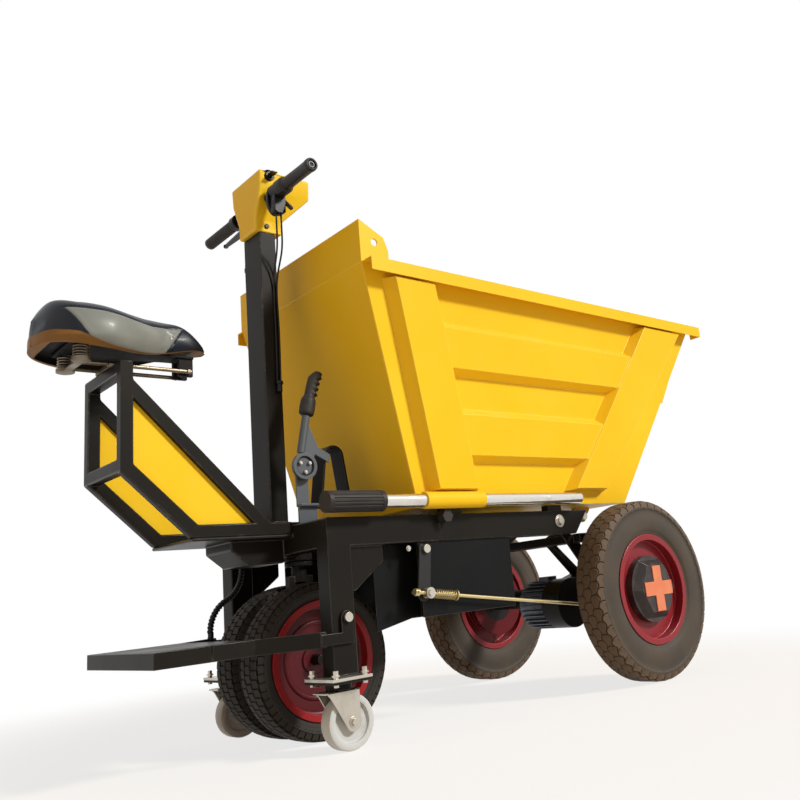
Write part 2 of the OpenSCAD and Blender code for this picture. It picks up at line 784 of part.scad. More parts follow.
// Front beams, cross member, axle hangers, strut and hopper hinge brackets
module front_beams() {
    beam = [[-seam_back, beam_z], [-beam_tip_back - beam_tip_slope, beam_z], [-beam_tip_back, beam_top_z],
        [-seam_back, beam_top_z]];
    hanger = [[cross_x - cross_l, beam_z], [cross_x, beam_z], [0, drive_r + axle_tube_r], [0, drive_r],
        [-axle_tube_r * 2, drive_r]];
    bracket = [[cross_x, cross_z], [cross_x + cross_l, cross_z], [eye_r * 0.8, tip_z - eye_r * 0.6],
        [0, tip_z + eye_r], [-eye_r, tip_z + eye_r * 0.5], [cross_x, beam_z]];
    brace = [[cross_x, cross_z], [cross_x + strut_t, cross_z], [-gear_r * 0.55 + strut_t, drive_r + gear_r * 0.7],
        [-gear_r * 0.55, drive_r + gear_r * 0.55]];
    ahead() color(black) difference() {
        union() {
            both() {
                plate_y(beam, beam_y - beam_w, beam_y);
                plate_y(hanger, hanger_y, hanger_y + hanger_t);
                plate_y(bracket, bracket_y, bracket_y + bracket_t);
                rod_y(0, tip_z, eye_r, bracket_y, bracket_y + bracket_t);
            }
            slab([cross_x, -beam_y, cross_z], [cross_x + cross_l, beam_y, beam_z]);
            plate_y(brace, -gear_y + gear_w / 2 - strut_y, -gear_y + gear_w / 2 + strut_y);
        }
        rod_y(0, tip_z, pin_r + run_gap, -beam_y, beam_y);
        rod_y(0, drive_r, axle_tube_r, -beam_y, beam_y);
        rod_y(0, drive_r, gear_r, -gear_y, -gear_y + gear_w);
        plate_y(gear_web(), -gear_y, -gear_y + gear_w);
        both() rod_y(-beam_bolt_back, beam_bolt_z, bolt_r + run_gap, beam_y - bolt_sunk, beam_y + side_gap);
    }
}
module hinge_pin() ahead() color(steel) {
    lug_end = bracket_y + 2 * bracket_t + 3 * side_gap;
    rod_y(0, tip_z, pin_r, -lug_end, lug_end);
    both() rod_y(0, tip_z, pin_r * 1.6, lug_end, lug_end + bolt_head_h);
}

// Bolts; some are the pins of the platform and the brake arm
module bolt_out(x, z, y, sunk, grip) {
    rod_y(x, z, bolt_r, y - sunk, y + grip);
    rod_y(x, z, bolt_head_r, y + grip, y + grip + bolt_head_h);
}
module frame_bolts() ahead() color(steel) {
    both() {
        bolt_out(-beam_bolt_back, beam_bolt_z, beam_y, bolt_sunk, washer_t);
        ring_y(-beam_bolt_back, beam_bolt_z, washer_r, bolt_r, beam_y, beam_y + washer_t);
        bolt_out(-fold_back, fold_hinge_z, beam_y, bolt_sunk, limb_t + 2 * side_gap);
        caster_bolt_places() {
            translate([0, 0, -2 * foot_t]) cylinder(r = screw_r, h = 4 * foot_t);
            for (z = [foot_t, -2 * foot_t]) translate([0, 0, z]) cylinder(r = screw_r * 1.6, h = foot_t, $fn = 6);
        }
    }
    mirror([0, 1, 0]) bolt_out(-arm_back, arm_z, box_y, sheet_t, arm_t + 2 * side_gap);
}

// Battery tray with side skins and wheel guards, and the batteries
module battery_box() {
    guard = [[-guard_back, box_z - guard_drop], [-box_skin_back, box_z], [-box_back, box_z],
        [-box_back, beam_z], [-guard_back, beam_z]];
    ahead() color(black) difference() {
        union() {
            slab([-box_back, -box_y, box_z], [-box_front_back, box_y, beam_z]);
            both() slab([-box_skin_back, box_y - sheet_t, box_z], [-box_back, box_y, beam_z]);
            both() plate_y(guard, guard_y, guard_y + sheet_t);
        }
        slab([-box_back + sheet_t, -box_y + sheet_t, box_z + sheet_t],
            [-box_front_back - sheet_t, box_y - sheet_t, beam_z + side_gap]);
        rod_y(-arm_back, arm_z, bolt_r + run_gap, -box_y - side_gap, -box_y + 2 * sheet_t);
    }
}
module battery_pack() {
    x0 = -box_back + sheet_t + battery_gap;
    x1 = -box_front_back - sheet_t - battery_gap;
    y1 = box_y - sheet_t - battery_gap;
    z0 = box_z + sheet_t;
    cells = 4;
    pitch = (2 * y1 + battery_gap) / cells;
    ahead() color(grey) for (i = [0 : cells - 1])
        slab([x0, -y1 + i * pitch, z0], [x1, -y1 + (i + 1) * pitch - battery_gap, z0 + battery_h]);
}

// Drive axle: tube, spindles, gear case, brake back plates
function gear_web() = [[0, drive_r - gear_r * 0.95], [0, drive_r + gear_r * 0.95],
    [-motor_back, motor_z + motor_r * 0.9], [-motor_back, motor_z - motor_r * 0.9]];
module axle_housing() {
    ahead() color(black) {
        rod_y(0, drive_r, axle_tube_r, -drum_y, drum_y);
        rod_y(0, drive_r, gear_r, -gear_y, -gear_y + gear_w);
        rod_y(-motor_back, motor_z, motor_r, -gear_y, -gear_y + gear_w);
        plate_y(gear_web(), -gear_y, -gear_y + gear_w);
        both() rod_y(0, drive_r, drum_r, drum_y, drum_y + drum_t);
        both() rod_y(0, drive_r, spindle_r, drum_y, drive_y + drive_tyre_w * bead_share - drive_dish);
        mirror([0, 1, 0]) {
            rod_y(cam_x, cam_z, bolt_r, rod_y - arm_t * 2 - side_gap, drum_y);
            plate_y([[0, drive_r - bolt_r], [0, drive_r + bolt_r], [cam_x, cam_z + bolt_r], [cam_x, cam_z - bolt_r]],
                drum_y, drum_y + drum_t);
        }
    }
}
module drive_motor() {
    y0 = -gear_y + gear_w;
    core_r = motor_r - fin_h;
    ahead() color(grey) {
        rod_y(-motor_back, motor_z, core_r, y0, y0 + motor_l);
        translate([-motor_back, y0, motor_z]) for (i = [0 : fin_count - 1])
            rotate([0, 360 * i / fin_count, 0])
                slab([core_r - fin_t, 0, -fin_t / 2], [motor_r, motor_l - fin_h, fin_t / 2]);
        slab([-motor_back - fin_h * 2, y0 + fin_h, motor_z + core_r],
            [-motor_back + fin_h * 2, y0 + fin_h * 5, motor_z + motor_r + fin_h]);
    }
}

// Hopper: bent floor and end walls between pressed side sheets, rear wall, ears, pouring plate, lugs
function side_profile(z0, z1, t) = [[-floor_back - rear_slope * (z0 - hop_z) + t, z0],
    [floor_fwd + front_slope * (z0 - hop_z) - t, z0], [floor_fwd + front_slope * (z1 - hop_z) - t, z1],
    [-floor_back - rear_slope * (z1 - hop_z) + t, z1]];
function end_profile(z0, z1, t) = [for (s = [1, -1], z = s > 0 ? [z0, z1] : [z1, z0])
    [s * (floor_y + wall_slope * (z - hop_z) - t), z]];
module bin(z0, z1, t) intersection() {
    plate_y(side_profile(z0, z1, t), -wall_y - relief, wall_y + relief);
    plate_x(end_profile(z0, z1, t), -wall_back * 1.2, wall_back);
}
module on_wall() translate([0, floor_y, hop_z]) rotate([-wall_tilt, 0, 0]) children();
// A pressed panel: a sloping flank on each edge, upright where the share is zero
module pressing(outline, shares, rise, t) {
    low = t > 0 ? -3 * hop_t : -hop_t / 2;
    top = rise - t;
    n = len(outline);
    intersection_for (i = [0 : n - 1]) {
        a = outline[i];
        d = outline[(i + 1) % n] - a;
        run = flank * shares[i];
        on_wall() translate([a.x, 0, a.y]) rotate([0, -atan2(d.y, d.x), 0])
            plate_x([[low, t - run * (rise - low) / rise], [top, t - run * (rise - top) / rise], [top, wall_back * 2],
                [low, wall_back * 2]], -wall_back * 2, wall_back * 2);
    }
}
function between(foot, top, v) = foot + (top - foot) * v / stile_top;
function stile_outline(foot, top) = [[foot[0], stile_rise * slant], [foot[1], stile_rise * slant],
    [top[1], stile_top], [top[0], stile_top]];
function rib_left(v) = between(-stile_a_foot[1], -stile_a_top[1], v) - flank;
function rib_right(v) = between(stile_b_foot[0], stile_b_top[0], v) + flank;
function rib_outline(v) = [[rib_left(v[0]), v[0]], [rib_right(v[0]), v[0]], [rib_right(v[1]), v[1]],
    [rib_left(v[1]), v[1]]];
module pressings(t) {
    pressing(stile_outline(-stile_a_foot, -stile_a_top), [0.5, 1, 0, 1], relief, t);
    pressing(stile_outline(stile_b_foot, stile_b_top), [0.5, 1, 0, 1], relief, t);
    for (low = rib_low) pressing(rib_outline([low * slant, (low + rib_w) * slant]), [1, 0, 1, 0], rib_relief, t);
}
module hopper_tray() {
    ear = [[-wall_back, rim_z + rim_h], [-wall_back + ear_l, rim_z + rim_h], [-wall_back + ear_l, fold_z + ear_l / 2],
        [-wall_back + ear_l * 0.85, fold_z + ear_l * 0.9], [-wall_back, hop_top_z]];
    pour = [[floor_fwd + front_slope * (pour_z - hop_z) - sink, pour_z],
        [floor_fwd + front_slope * (pour_z - hop_z) + pour_t, pour_z],
        [floor_fwd + front_slope * (rim_z - hop_z) + pour_t, rim_z],
        [floor_fwd + front_slope * (rim_z - hop_z) - sink, rim_z]];
    lug_y = bracket_y + bracket_t + side_gap;
    ahead() color(yellow) {
        difference() {
            intersection() {
                plate_y(side_profile(hop_z, fold_z, 0), -wall_y, wall_y);
                plate_x(end_profile(hop_z, fold_z, hop_t), -wall_back * 1.2, wall_back);
            }
            plate_y(side_profile(hop_z + hop_t, fold_z + 2 * hop_t, hop_t), -wall_back, wall_back);
        }
        slab([-wall_back - sink, -wall_y - sink, fold_z], [-wall_back + hop_t + sink, wall_y + sink, hop_top_z]);
        both() {
            difference() {
                plate_y(ear, wall_y - hop_t, wall_y + sink);
                rod_y(-wall_back + ear_l / 2, fold_z + ear_l * 0.68, ear_hole_r, 0, wall_y + hop_t);
            }
            difference() {
                union() {
                    slab([-2 * eye_r, lug_y, tip_z + eye_r], [2 * eye_r, lug_y + bracket_t, hop_z + sink]);
                    plate_y([[-eye_r, tip_z], [eye_r, tip_z], [2 * eye_r, tip_z + eye_r],
                        [-2 * eye_r, tip_z + eye_r]], lug_y, lug_y + bracket_t);
                    rod_y(0, tip_z, eye_r, lug_y, lug_y + bracket_t);
                }
                rod_y(0, tip_z, pin_r + run_gap, 0, wall_y);
            }
        }
        plate_y(pour, -wall_y + pour_t * 2, wall_y - pour_t * 2);
    }
}
module hopper_sides() {
    sheet = [[floor_y, hop_z], [wall_y, fold_z], [wall_y - hop_t, fold_z], [floor_y - hop_t, hop_z]];
    ahead() color(yellow) both() difference() {
        union() {
            intersection() {
                plate_y(side_profile(hop_z, fold_z, 0), 0, wall_y + relief);
                plate_x(sheet, -wall_back * 1.2, wall_back);
            }
            pressings(0);
        }
        pressings(hop_t);
    }
}
module hopper_rim() {
    flat = rim_y - wall_y;
    top_y = wall_y - wall_slope * (fold_z - rim_z);
    front = floor_fwd + front_slope * (fold_z - hop_z);
    ahead() color(yellow) {
        both() difference() {
            slab([-wall_back + hop_t + sink, top_y, rim_z], [rim_fwd, rim_y, rim_z + rim_h]);
            slab([-wall_back, 0, rim_z - hop_t], [rim_fwd - hop_t * 2, rim_y - hop_t, rim_z + rim_h - hop_t]);
        }
        difference() {
            slab([front - hop_t, -rim_y + flat / 2, rim_z + rim_h - hop_t * 2],
                [rim_fwd - hop_t, rim_y - flat / 2, rim_z + rim_h]);
            bin(hop_z, fold_z, 0);
        }
    }
}
module bar_sleeve() ahead() color(yellow) difference() {
    union() {
        rod_x(-bar_y, bar_z, sleeve_r, -sleeve_back, -sleeve_back + sleeve_l);
        for (x = [-sleeve_back + sleeve_r, -sleeve_back + sleeve_l - sleeve_r * 3])
            slab([x, -bar_y, bar_z - sleeve_r / 2], [x + 2 * sleeve_r, -floor_y - hop_t * 0.75, bar_z + sleeve_r / 3]);
    }
    rod_x(-bar_y, bar_z, bar_r + run_gap, -sleeve_back - side_gap, -sleeve_back + sleeve_l + side_gap);
}
module tipping_bar() ahead() color(steel)
    rod_x(-bar_y, bar_z, bar_r, -bar_back + groove_d * 4, -bar_front_back);
module bar_grip() ahead() color(rubber) difference() {
    rod_x(-bar_y, bar_z, bar_grip_r, -bar_back, -bar_back + bar_grip_l);
    rod_x(-bar_y, bar_z, bar_r, -bar_back + groove_d * 4, -bar_back + bar_grip_l + side_gap);
    for (i = [0 : groove_count - 1])
        translate([0, -bar_y, bar_z]) rotate([360 * i / groove_count, 0, 0])
            rod_x(0, bar_grip_r, groove_d, -bar_back + groove_d * 6, -bar_back + bar_grip_l - groove_d * 6);
}
module rest_pads() ahead() color(rubber) {
    both() for (x = [-seam_back + pad_l, -beam_bolt_back])
        slab([x - pad_l / 2, leg_y - beam_w / 4, beam_top_z], [x + pad_l / 2, leg_y + beam_w / 4, hop_z - side_gap]);
    mirror([0, 1, 0]) translate([-rest_back, beam_y, bar_z - sleeve_r - rest_r])
        rotate([-90, 0, 0]) cylinder(r = rest_r, h = rest_r * 1.6, $fn = 6);
}

// Column, head housing and what sits on the handlebar
module steer_column() {
    hook_z = col_top_z - 2 * col_y;
    ahead() color(black) {
        slab([-col_back - col_plate_t, -col_y - col_t, col_plate_z],
            [-steer_back + head_tube_r, col_y + col_t, col_plate_z + col_plate_t]);
        difference() {
            slab([-col_back, -col_y, col_plate_z + col_plate_t], [-col_back + col_d, col_y, col_top_z]);
            slab([-col_back + col_t, -col_y + col_t, col_plate_z + 2 * col_plate_t],
                [-col_back + col_d - col_t, col_y - col_t, col_top_z + side_gap]);
        }
        slab([-col_back + col_t, col_y, hook_z], [-col_back + 3 * col_t, col_y + 3 * col_t, hook_z + 4 * col_t]);
    }
}
module steer_leg() {
    blade_y = twin_gap * 0.3;
    ahead() color(black) {
        rod_z(-steer_back, 0, kingpin_r, twin_r * 2 + 4 * side_gap, col_plate_z);
        rod_z(-steer_back, 0, head_tube_r, beam_top_z + side_gap, col_plate_z);
        rod_z(-steer_back, 0, head_tube_r, head_tube_z - 3 * side_gap - col_plate_t, head_tube_z - 3 * side_gap);
        slab([-steer_back - head_tube_r, -blade_y, twin_r], [-steer_back + head_tube_r, blade_y, twin_r * 2 + kingpin_r]);
        rod_y(-steer_back, twin_r, head_tube_r, -blade_y, blade_y);
        rod_y(-steer_back, twin_r, twin_axle_r, -twin_gap / 2 - twin_tyre_w * 0.8, twin_gap / 2 + twin_tyre_w * 0.8);
    }
}
module head_housing() {
    side = [[-head_back, col_top_z], [-neck_front_back, col_top_z], [-neck_front_back, head_flare_z],
        [-head_front_back - flank, head_full_z - flank], [-head_front_back, head_full_z],
        [-head_front_back, head_top_z], [-head_back, head_top_z]];
    half = [[neck_y, col_top_z], [neck_y, head_flare_z], [head_y - col_t, head_full_z], [head_y, head_full_z + neck_y],
        [head_y, head_top_z]];
    front = concat(half, [for (i = [len(half) - 1 : -1 : 0]) [-half[i].x, half[i].y]]);
    ahead() color(yellow) difference() {
        intersection() {
            plate_y(side, -head_y, head_y);
            plate_x(front, -head_back, -head_front_back);
        }
        rod_y(-bar2_back, bar2_z, bar2_r, -head_y * 2, head_y * 2);
        both() for (z = screw_rows) rod_y(-head_back + 2 * flank, z, screw_r, neck_y - flank, head_y + flank);
        rod_y(-lock_back, lock_z, lock_r, -head_y - side_gap, -head_y + lock_r);
    }
}
screw_rows = [col_top_z + flank];
module head_screws() ahead() color(steel) both() for (z = screw_rows) {
    rod_y(-head_back + 2 * flank, z, screw_r, neck_y - flank, neck_y);
    rod_y(-head_back + 2 * flank, z, screw_r * 1.7, neck_y, neck_y + screw_r);
}
module handlebar() ahead() color(black) rod_y(-bar2_back, bar2_z, bar2_r, -bar2_y + col_t, bar2_y - col_t);
module left_grip() ahead() color(rubber) difference() {
    union() {
        rod_y(-bar2_back, bar2_z, grip_r, grip_in_y, bar2_y);
        rod_y(-bar2_back, bar2_z, grip_r + side_gap, grip_in_y, grip_in_y + col_t);
    }
    rod_y(-bar2_back, bar2_z, bar2_r, 0, bar2_y - col_t);
}
module twist_grip() ahead() color(rubber) difference() {
    union() {
        rod_y(-bar2_back, bar2_z, grip_r, -bar2_y, -grip_in_y);
        rod_y(-bar2_back, bar2_z, drum_grip_r, -grip_in_y - drum_grip_l, -grip_in_y);
    }
    rod_y(-bar2_back, bar2_z, bar2_r + run_gap, -bar2_y + col_t - side_gap, 0);
}
module control_clamps() {
    inner = grip_in_y - side_gap - clamp_l;
    pod_z = bar2_z - pod_drop;
    ahead() color(black) difference() {
        union() {
            both() rod_y(-bar2_back, bar2_z, clamp_r, inner, inner + clamp_l);
            slab([-bar2_back - pod_x, -inner - clamp_l, pod_z], [-bar2_back + pod_x, -inner, bar2_z]);
            slab([-bar2_back, inner, bar2_z - lever_t],
                [-bar2_back + lever_x - lever_t, inner + clamp_l, bar2_z + lever_t]);
        }
        rod_y(-bar2_back, bar2_z, bar2_r, -bar2_y, bar2_y);
        rod_x(thumb_y, thumb_z, thumb_r / 2 + run_gap, -bar2_back, -bar2_back + lever_x);
        rod_z(-bar2_back + lever_x - 2 * lever_t, inner + clamp_l - lever_t, screw_r + run_gap, 0, head_top_z);
        slab([-bar2_back, inner, bar2_z - lever_t / 2 - side_gap],
            [-bar2_back + lever_x, inner + clamp_l + side_gap, bar2_z + lever_t / 2 + side_gap]);
    }
}
module thumb_lever() {
    x = -bar2_back + pod_x + side_gap + thumb_r;
    ahead() color(rubber) translate([x, thumb_y, thumb_z]) {
        rotate([thumb_fall, 0, 0]) {
            rod_y(0, 0, thumb_r, -thumb_l, clamp_l / 3);
            translate([0, -thumb_l, 0]) sphere(r = thumb_r);
        }
        rod_x(0, 0, thumb_r / 2, -thumb_r * 3, 0);
    }
}
module hand_lever() {
    inner = grip_in_y - side_gap - clamp_l;
    pivot = [-bar2_back + lever_x - 2 * lever_t, inner + clamp_l - lever_t];
    tip = [-bar2_back + lever_x, bar2_y - lever_t];
    ahead() color(black) {
        rod_z(pivot.x, pivot.y, screw_r, bar2_z - lever_t, bar2_z + lever_t);
        translate([0, 0, bar2_z - lever_t / 2]) linear_extrude(lever_t) polygon([[pivot.x - lever_t, pivot.y - lever_t],
            [pivot.x + lever_t, pivot.y - lever_t], [tip.x + lever_t, pivot.y + clamp_l * 2], [tip.x + lever_t / 2, tip.y],
            [tip.x - lever_t / 2, tip.y], [pivot.x + lever_t / 2, pivot.y + clamp_l * 2], [pivot.x - lever_t, pivot.y + lever_t]]);
        rod_z(tip.x, tip.y, lever_t * 0.8, bar2_z - lever_t / 2, bar2_z + lever_t / 2);
    }
}
module key_lock() ahead() color(steel) difference() {
    rod_y(-lock_back, lock_z, lock_r, -head_y - col_t, -head_y + lock_r);
    rod_y(-lock_back, lock_z, lock_r / 2, -head_y - col_t - side_gap, -head_y);
}
module key() ahead() color(black) {
    rod_y(-lock_back, lock_z, lock_r / 2 - run_gap, -head_y - col_t * 2, -head_y - side_gap / 2);
    slab([-lock_back - lock_r * 0.7, -head_y - col_t * 2 - key_l, lock_z - col_t / 2],
        [-lock_back + lock_r * 0.7, -head_y - col_t * 2, lock_z + col_t / 2]);
}
module control_cables() {
    y = -grip_in_y + clamp_l / 2 + side_gap;
    near = -col_y - 2 * cable_r;
    front = -col_back + col_d;
    pod_z = bar2_z - pod_drop;
    routes = [for (k = [0, 1]) let (x = -bar2_back + (k - 0.5) * pod_x, off = (1 - k) * 4 * cable_r)
        [[x, y, pod_z], [x, y, pod_z - 2 * flank], [x + flank, (y + near) / 2, pod_z - 5 * flank],
        [front - 2 * cable_r - off, near, pod_z - 10 * flank], [front - 2 * cable_r - off, near, pod_z - 18 * flank],
        [front - 3 * cable_r - off, near, pod_z - 26 * flank]]];
    ahead() color(black) for (r = routes) swept_tube(r, cable_r, 8, [0, 1, 0]);
}

// Handbrake with its finger grip, and the guard hoop
module handbrake_base() {
    out = hb_y + hb_t / 2 + side_gap;
    in = hb_y - hb_t / 2 - side_gap;
    foot = hb_foot_z;
    ahead() color(grey) mirror([0, 1, 0]) {
        rod_y(-hb_back, hb_z, hb_pin_r, in - hb_t, out + hb_t);
        ring_y(-hb_back, hb_z, hb_ring_r, hb_ring_r * 0.75, out, out + 2 * hb_t);
        rod_y(-hb_back, hb_z, hb_ring_r * 0.75, out, out + hb_t);
        for (a = [30 : 120 : 270]) translate([hb_ring_r * 0.45 * cos(a), 0, hb_ring_r * 0.45 * sin(a)])
            rod_y(-hb_back, hb_z, screw_r * 1.2, out + hb_t, out + 2 * hb_t);
        plate_y([[-hb_back - hb_ring_r / 2, foot], [-hb_back + hb_ring_r / 2, foot],
            [-hb_back + hb_ring_r / 2, hb_z], [-hb_back - hb_ring_r / 2, hb_z]], in - hb_t, in);
        slab([-hb_back - hb_ring_r / 2, in - hb_t, foot - hb_t], [-hb_back + hb_ring_r * 1.3, out + 2 * hb_t, foot]);
        slab([-hb_back - hb_ring_r / 2, in, beam_top_z], [-hb_back + hb_ring_r, out, foot - hb_t]);
        slab([-hb_back + hb_ring_r, hoop_near - hoop_b, foot - hb_t], [-hoop_back + hoop_w / 2, hoop_near, foot]);
    }
}
module lever_axis() translate([-hb_back, -hb_y, hb_z]) rotate([0, hb_lean, 0]) children();
module brake_lever() {
    arm = hb_ring_r * 2.2;
    ahead() color(grey) difference() {
        lever_axis() {
            translate([-hb_pin_r, 0, hb_ring_r]) cylinder(r = hb_tube_r, h = hb_tube_l);
            rod_y(0, 0, hb_pin_r * 2.2, -hb_t / 2, hb_t / 2);
            plate_y([[-hb_pin_r * 2, 0], [hb_pin_r * 2, 0], [hb_pin_r * 3, hb_pin_r * 4], [arm, hb_pin_r * 2.8],
                [arm, hb_pin_r * 5], [hb_pin_r * 3.7, hb_pin_r * 6], [0, hb_ring_r + hb_tube_l * 0.78],
                [-hb_pin_r, hb_ring_r + hb_pin_r]], -hb_t / 2, hb_t / 2);
        }
        rod_y(-hb_back, hb_z, hb_pin_r + run_gap, -hb_y - hb_t, -hb_y + hb_t);
    }
}
module lever_grip() {
    low = hb_ring_r + hb_tube_l + hb_grip_r * sin(hb_lean / 3);
    pitch = hb_grip_l * 0.62 / hb_ridges;
    ahead() color(rubber) lever_axis() translate([-hb_pin_r, 0, low]) rotate([0, hb_lean / 3, 0]) {
        cylinder(r = hb_grip_r, h = hb_grip_l * 0.38);
        cylinder(r = hb_grip_r * 0.8, h = hb_grip_l);
        for (i = [0 : hb_ridges - 1]) translate([hb_grip_r * 0.18, 0, hb_grip_l * 0.38 + (i + 0.5) * pitch])
            cylinder(r = hb_grip_r * 0.95, h = pitch * 0.55);
        translate([0, 0, hb_grip_l]) sphere(r = hb_grip_r * 0.8);
    }
}
module hoop_shape(t, over) {
    top = hb_foot_z + hoop_h - hoop_r;
    half = hoop_w / 2 - t;
    r = hoop_r - t;
    plate_y([[-hoop_back - half, hb_foot_z - over], [-hoop_back + half, hb_foot_z - over], [-hoop_back + r, top],
        [-hoop_back - r, top]], -hoop_near - over, -hoop_near + hoop_b + over);
    rod_y(-hoop_back, top, r, -hoop_near - over, -hoop_near + hoop_b + over);
}
module guard_hoop() ahead() color(black) difference() {
    hoop_shape(0, 0);
    hoop_shape(hb_t, side_gap);
}

// Brake arm, pull rod, rod spring and cam lever beside the box
module along_rod() translate([arm_pin_x, -rod_y, arm_pin_z]) rotate([0, rod_slope, 0]) children();
module brake_arm() {
    y0 = -box_y - side_gap - arm_t;
    ahead() color(black) difference() {
        union() {
            translate([-arm_back, 0, arm_z]) rotate([0, rod_slope, 0])
                slab([-arm_w / 2, y0, -arm_l], [arm_w / 2, y0 + arm_t, arm_w * 0.3]);
            rod_y(arm_pin_x, arm_pin_z, arm_w / 2, y0, y0 + arm_t);
            rod_y(arm_pin_x, arm_pin_z, bolt_r, -rod_y - bolt_head_r, y0);
        }
        rod_y(-arm_back, arm_z, bolt_r + run_gap, y0 - side_gap, y0 + arm_t + side_gap);
    }
}
module brake_rod() {
    yoke = bolt_r + link_gap + rod_r;
    half = rod_r * 1.5;
    tail = 3 * yoke;
    ahead() color(steel) difference() {
        union() {
            along_rod() {
                rod_y(0, 0, yoke, -half, half);
                rod_x(0, 0, rod_r, 0, rod_l);
                rod_x(0, 0, rod_r, -tail, 0);
                rod_x(0, 0, rod_r * 2, -tail - rod_r, -tail + 2 * rod_r);
                slab([-tail - rod_r / 2, -rod_r * 3.5, -rod_r / 2], [-tail + rod_r * 1.5, rod_r * 3.5, rod_r / 2]);
                rod_x(0, 0, spring_r + spring_wire, yoke + spring_l + 2 * spring_wire,
                    yoke + spring_l + 3 * spring_wire);
            }
            rod_y(cam_pin_x, cam_pin_z, yoke, -rod_y - half, -rod_y + half);
        }
        rod_y(arm_pin_x, arm_pin_z, bolt_r + link_gap, -rod_y * 2, 0);
        rod_y(cam_pin_x, cam_pin_z, bolt_r + link_gap, -rod_y * 2, 0);
    }
}
module rod_spring() {
    path = coil_points(spring_r, spring_l - spring_wire, spring_turns, 8, spring_wire);
    yoke = bolt_r + link_gap + rod_r;
    echo("rod spring least self gap", self_gap(path, spring_wire, 4));
    ahead() color(steel) along_rod() translate([yoke + 2 * spring_wire, 0, 0]) rotate([0, 90, 0])
        swept_tube(path, spring_wire / 2, 6, undef);
}
module brake_cam() {
    y0 = -rod_y + 2 * bolt_r;
    ahead() color(black) difference() {
        union() {
            translate([cam_x, 0, cam_z]) rotate([0, rod_slope, 0])
                slab([-arm_w / 4, y0 - arm_t, -cam_l], [arm_w / 4, y0, 0]);
            rod_y(cam_x, cam_z, arm_w / 2.2, y0 - arm_t, y0);
            rod_y(cam_pin_x, cam_pin_z, bolt_r, -rod_y - bolt_r, y0);
        }
        rod_y(cam_x, cam_z, bolt_r + run_gap, y0 - arm_t - side_gap, y0 + side_gap);
    }
}

// Casters: bolted plate with swivel race, fork with axle, wheel
module caster_mounts() ahead() color(steel) both() difference() {
    union() {
        slab([-caster_back - plate_l / 2, caster_y - plate_w / 2, caster_plate_z],
            [-caster_back + plate_l / 2, caster_y + plate_w / 2, foot_z]);
        rod_z(-caster_back, caster_y, race_r, caster_plate_z - race_h, caster_plate_z);
    }
    rod_z(-caster_back, caster_y, stem_r + run_gap, 0, caster_plate_z);
    caster_bolt_places() cylinder(r = screw_r + run_gap, h = 4 * foot_t, center = true);
}
module caster_fork(side) {
    half = caster_w / 2 + fork_gap;
    cheek = [[-caster_back - race_r, crown_z], [-caster_back + race_r * 1.3, crown_z],
        [caster_wheel_x + caster_axle_r * 2.2, caster_r], [caster_wheel_x, caster_r - caster_axle_r * 2.2],
        [caster_wheel_x - caster_axle_r * 2.2, caster_r]];
    ahead() color(nylon) translate([0, side * caster_y, 0]) {
        slab([-caster_back - race_r, -half - fork_t, crown_z - fork_t],
            [-caster_back + race_r * 1.3, half + fork_t, crown_z]);
        rod_z(-caster_back, 0, stem_r, crown_z, caster_plate_z - side_gap);
        both() plate_y(cheek, half, half + fork_t);
        rod_y(caster_wheel_x, caster_r, caster_axle_r, -half - 2 * fork_t, half + 2 * fork_t);
        both() rod_y(caster_wheel_x, caster_r, caster_axle_r * 1.6, half + fork_t, half + 2 * fork_t);
    }
}
module caster_wheel(side) ahead() color(nylon) translate([caster_wheel_x, side * caster_y, caster_r]) difference() {
    edge = fork_gap * 2;
    spin_y() polygon([[caster_axle_r + run_gap, -caster_w / 2], [caster_r - edge, -caster_w / 2],
        [caster_r, -caster_w / 2 + edge], [caster_r, caster_w / 2 - edge], [caster_r - edge, caster_w / 2],
        [caster_axle_r + run_gap, caster_w / 2]]);
    both() ring_y(0, 0, caster_r * 0.72, caster_r * 0.3, caster_w / 2 - fork_gap, caster_w / 2 + fork_gap);
}

// Foot platform: sheet tray, arms and hinge brackets
module foot_tray() {
    z0 = foot_top_z - foot_h;
    seam_w = foot_sheet / 2;
    ahead() color(black) difference() {
        slab([-foot_back, -foot_y, z0], [-tray_front_back, foot_y, foot_top_z]);
        slab([-foot_back + foot_sheet, -foot_y + foot_sheet, z0 - side_gap],
            [-tray_front_back - foot_sheet, foot_y - foot_sheet, foot_top_z - foot_sheet]);
        both() slab([-foot_seam_back - seam_w, foot_y - seam_w / 2, z0], [-foot_seam_back, foot_y, foot_top_z]);
    }
}
module foot_arms() {
    y0 = beam_y + side_gap;
    ahead() color(black) both() {
        translate([0, 0, foot_top_z - foot_h]) linear_extrude(foot_h) polygon([[-tray_front_back, foot_y - foot_arm_t],
            [-toe_back + limb_r, y0 + limb_t / 2], [-toe_back, y0 + limb_t / 2], [-tray_front_back, foot_y]]);
        difference() {
            union() {
                rod_y(-fold_back, fold_hinge_z, limb_r, y0, y0 + limb_t);
                slab([-fold_back - limb_r, y0, toe_z - limb_r * 0.8], [-fold_back + limb_r, y0 + limb_t, fold_hinge_z]);
                slab([-toe_back, y0, toe_z - limb_r * 0.8], [-fold_back, y0 + limb_t, toe_z + limb_r * 0.8]);
            }
            rod_y(-fold_back, fold_hinge_z, bolt_r + run_gap, 0, drive_face_y);
        }
    }
}

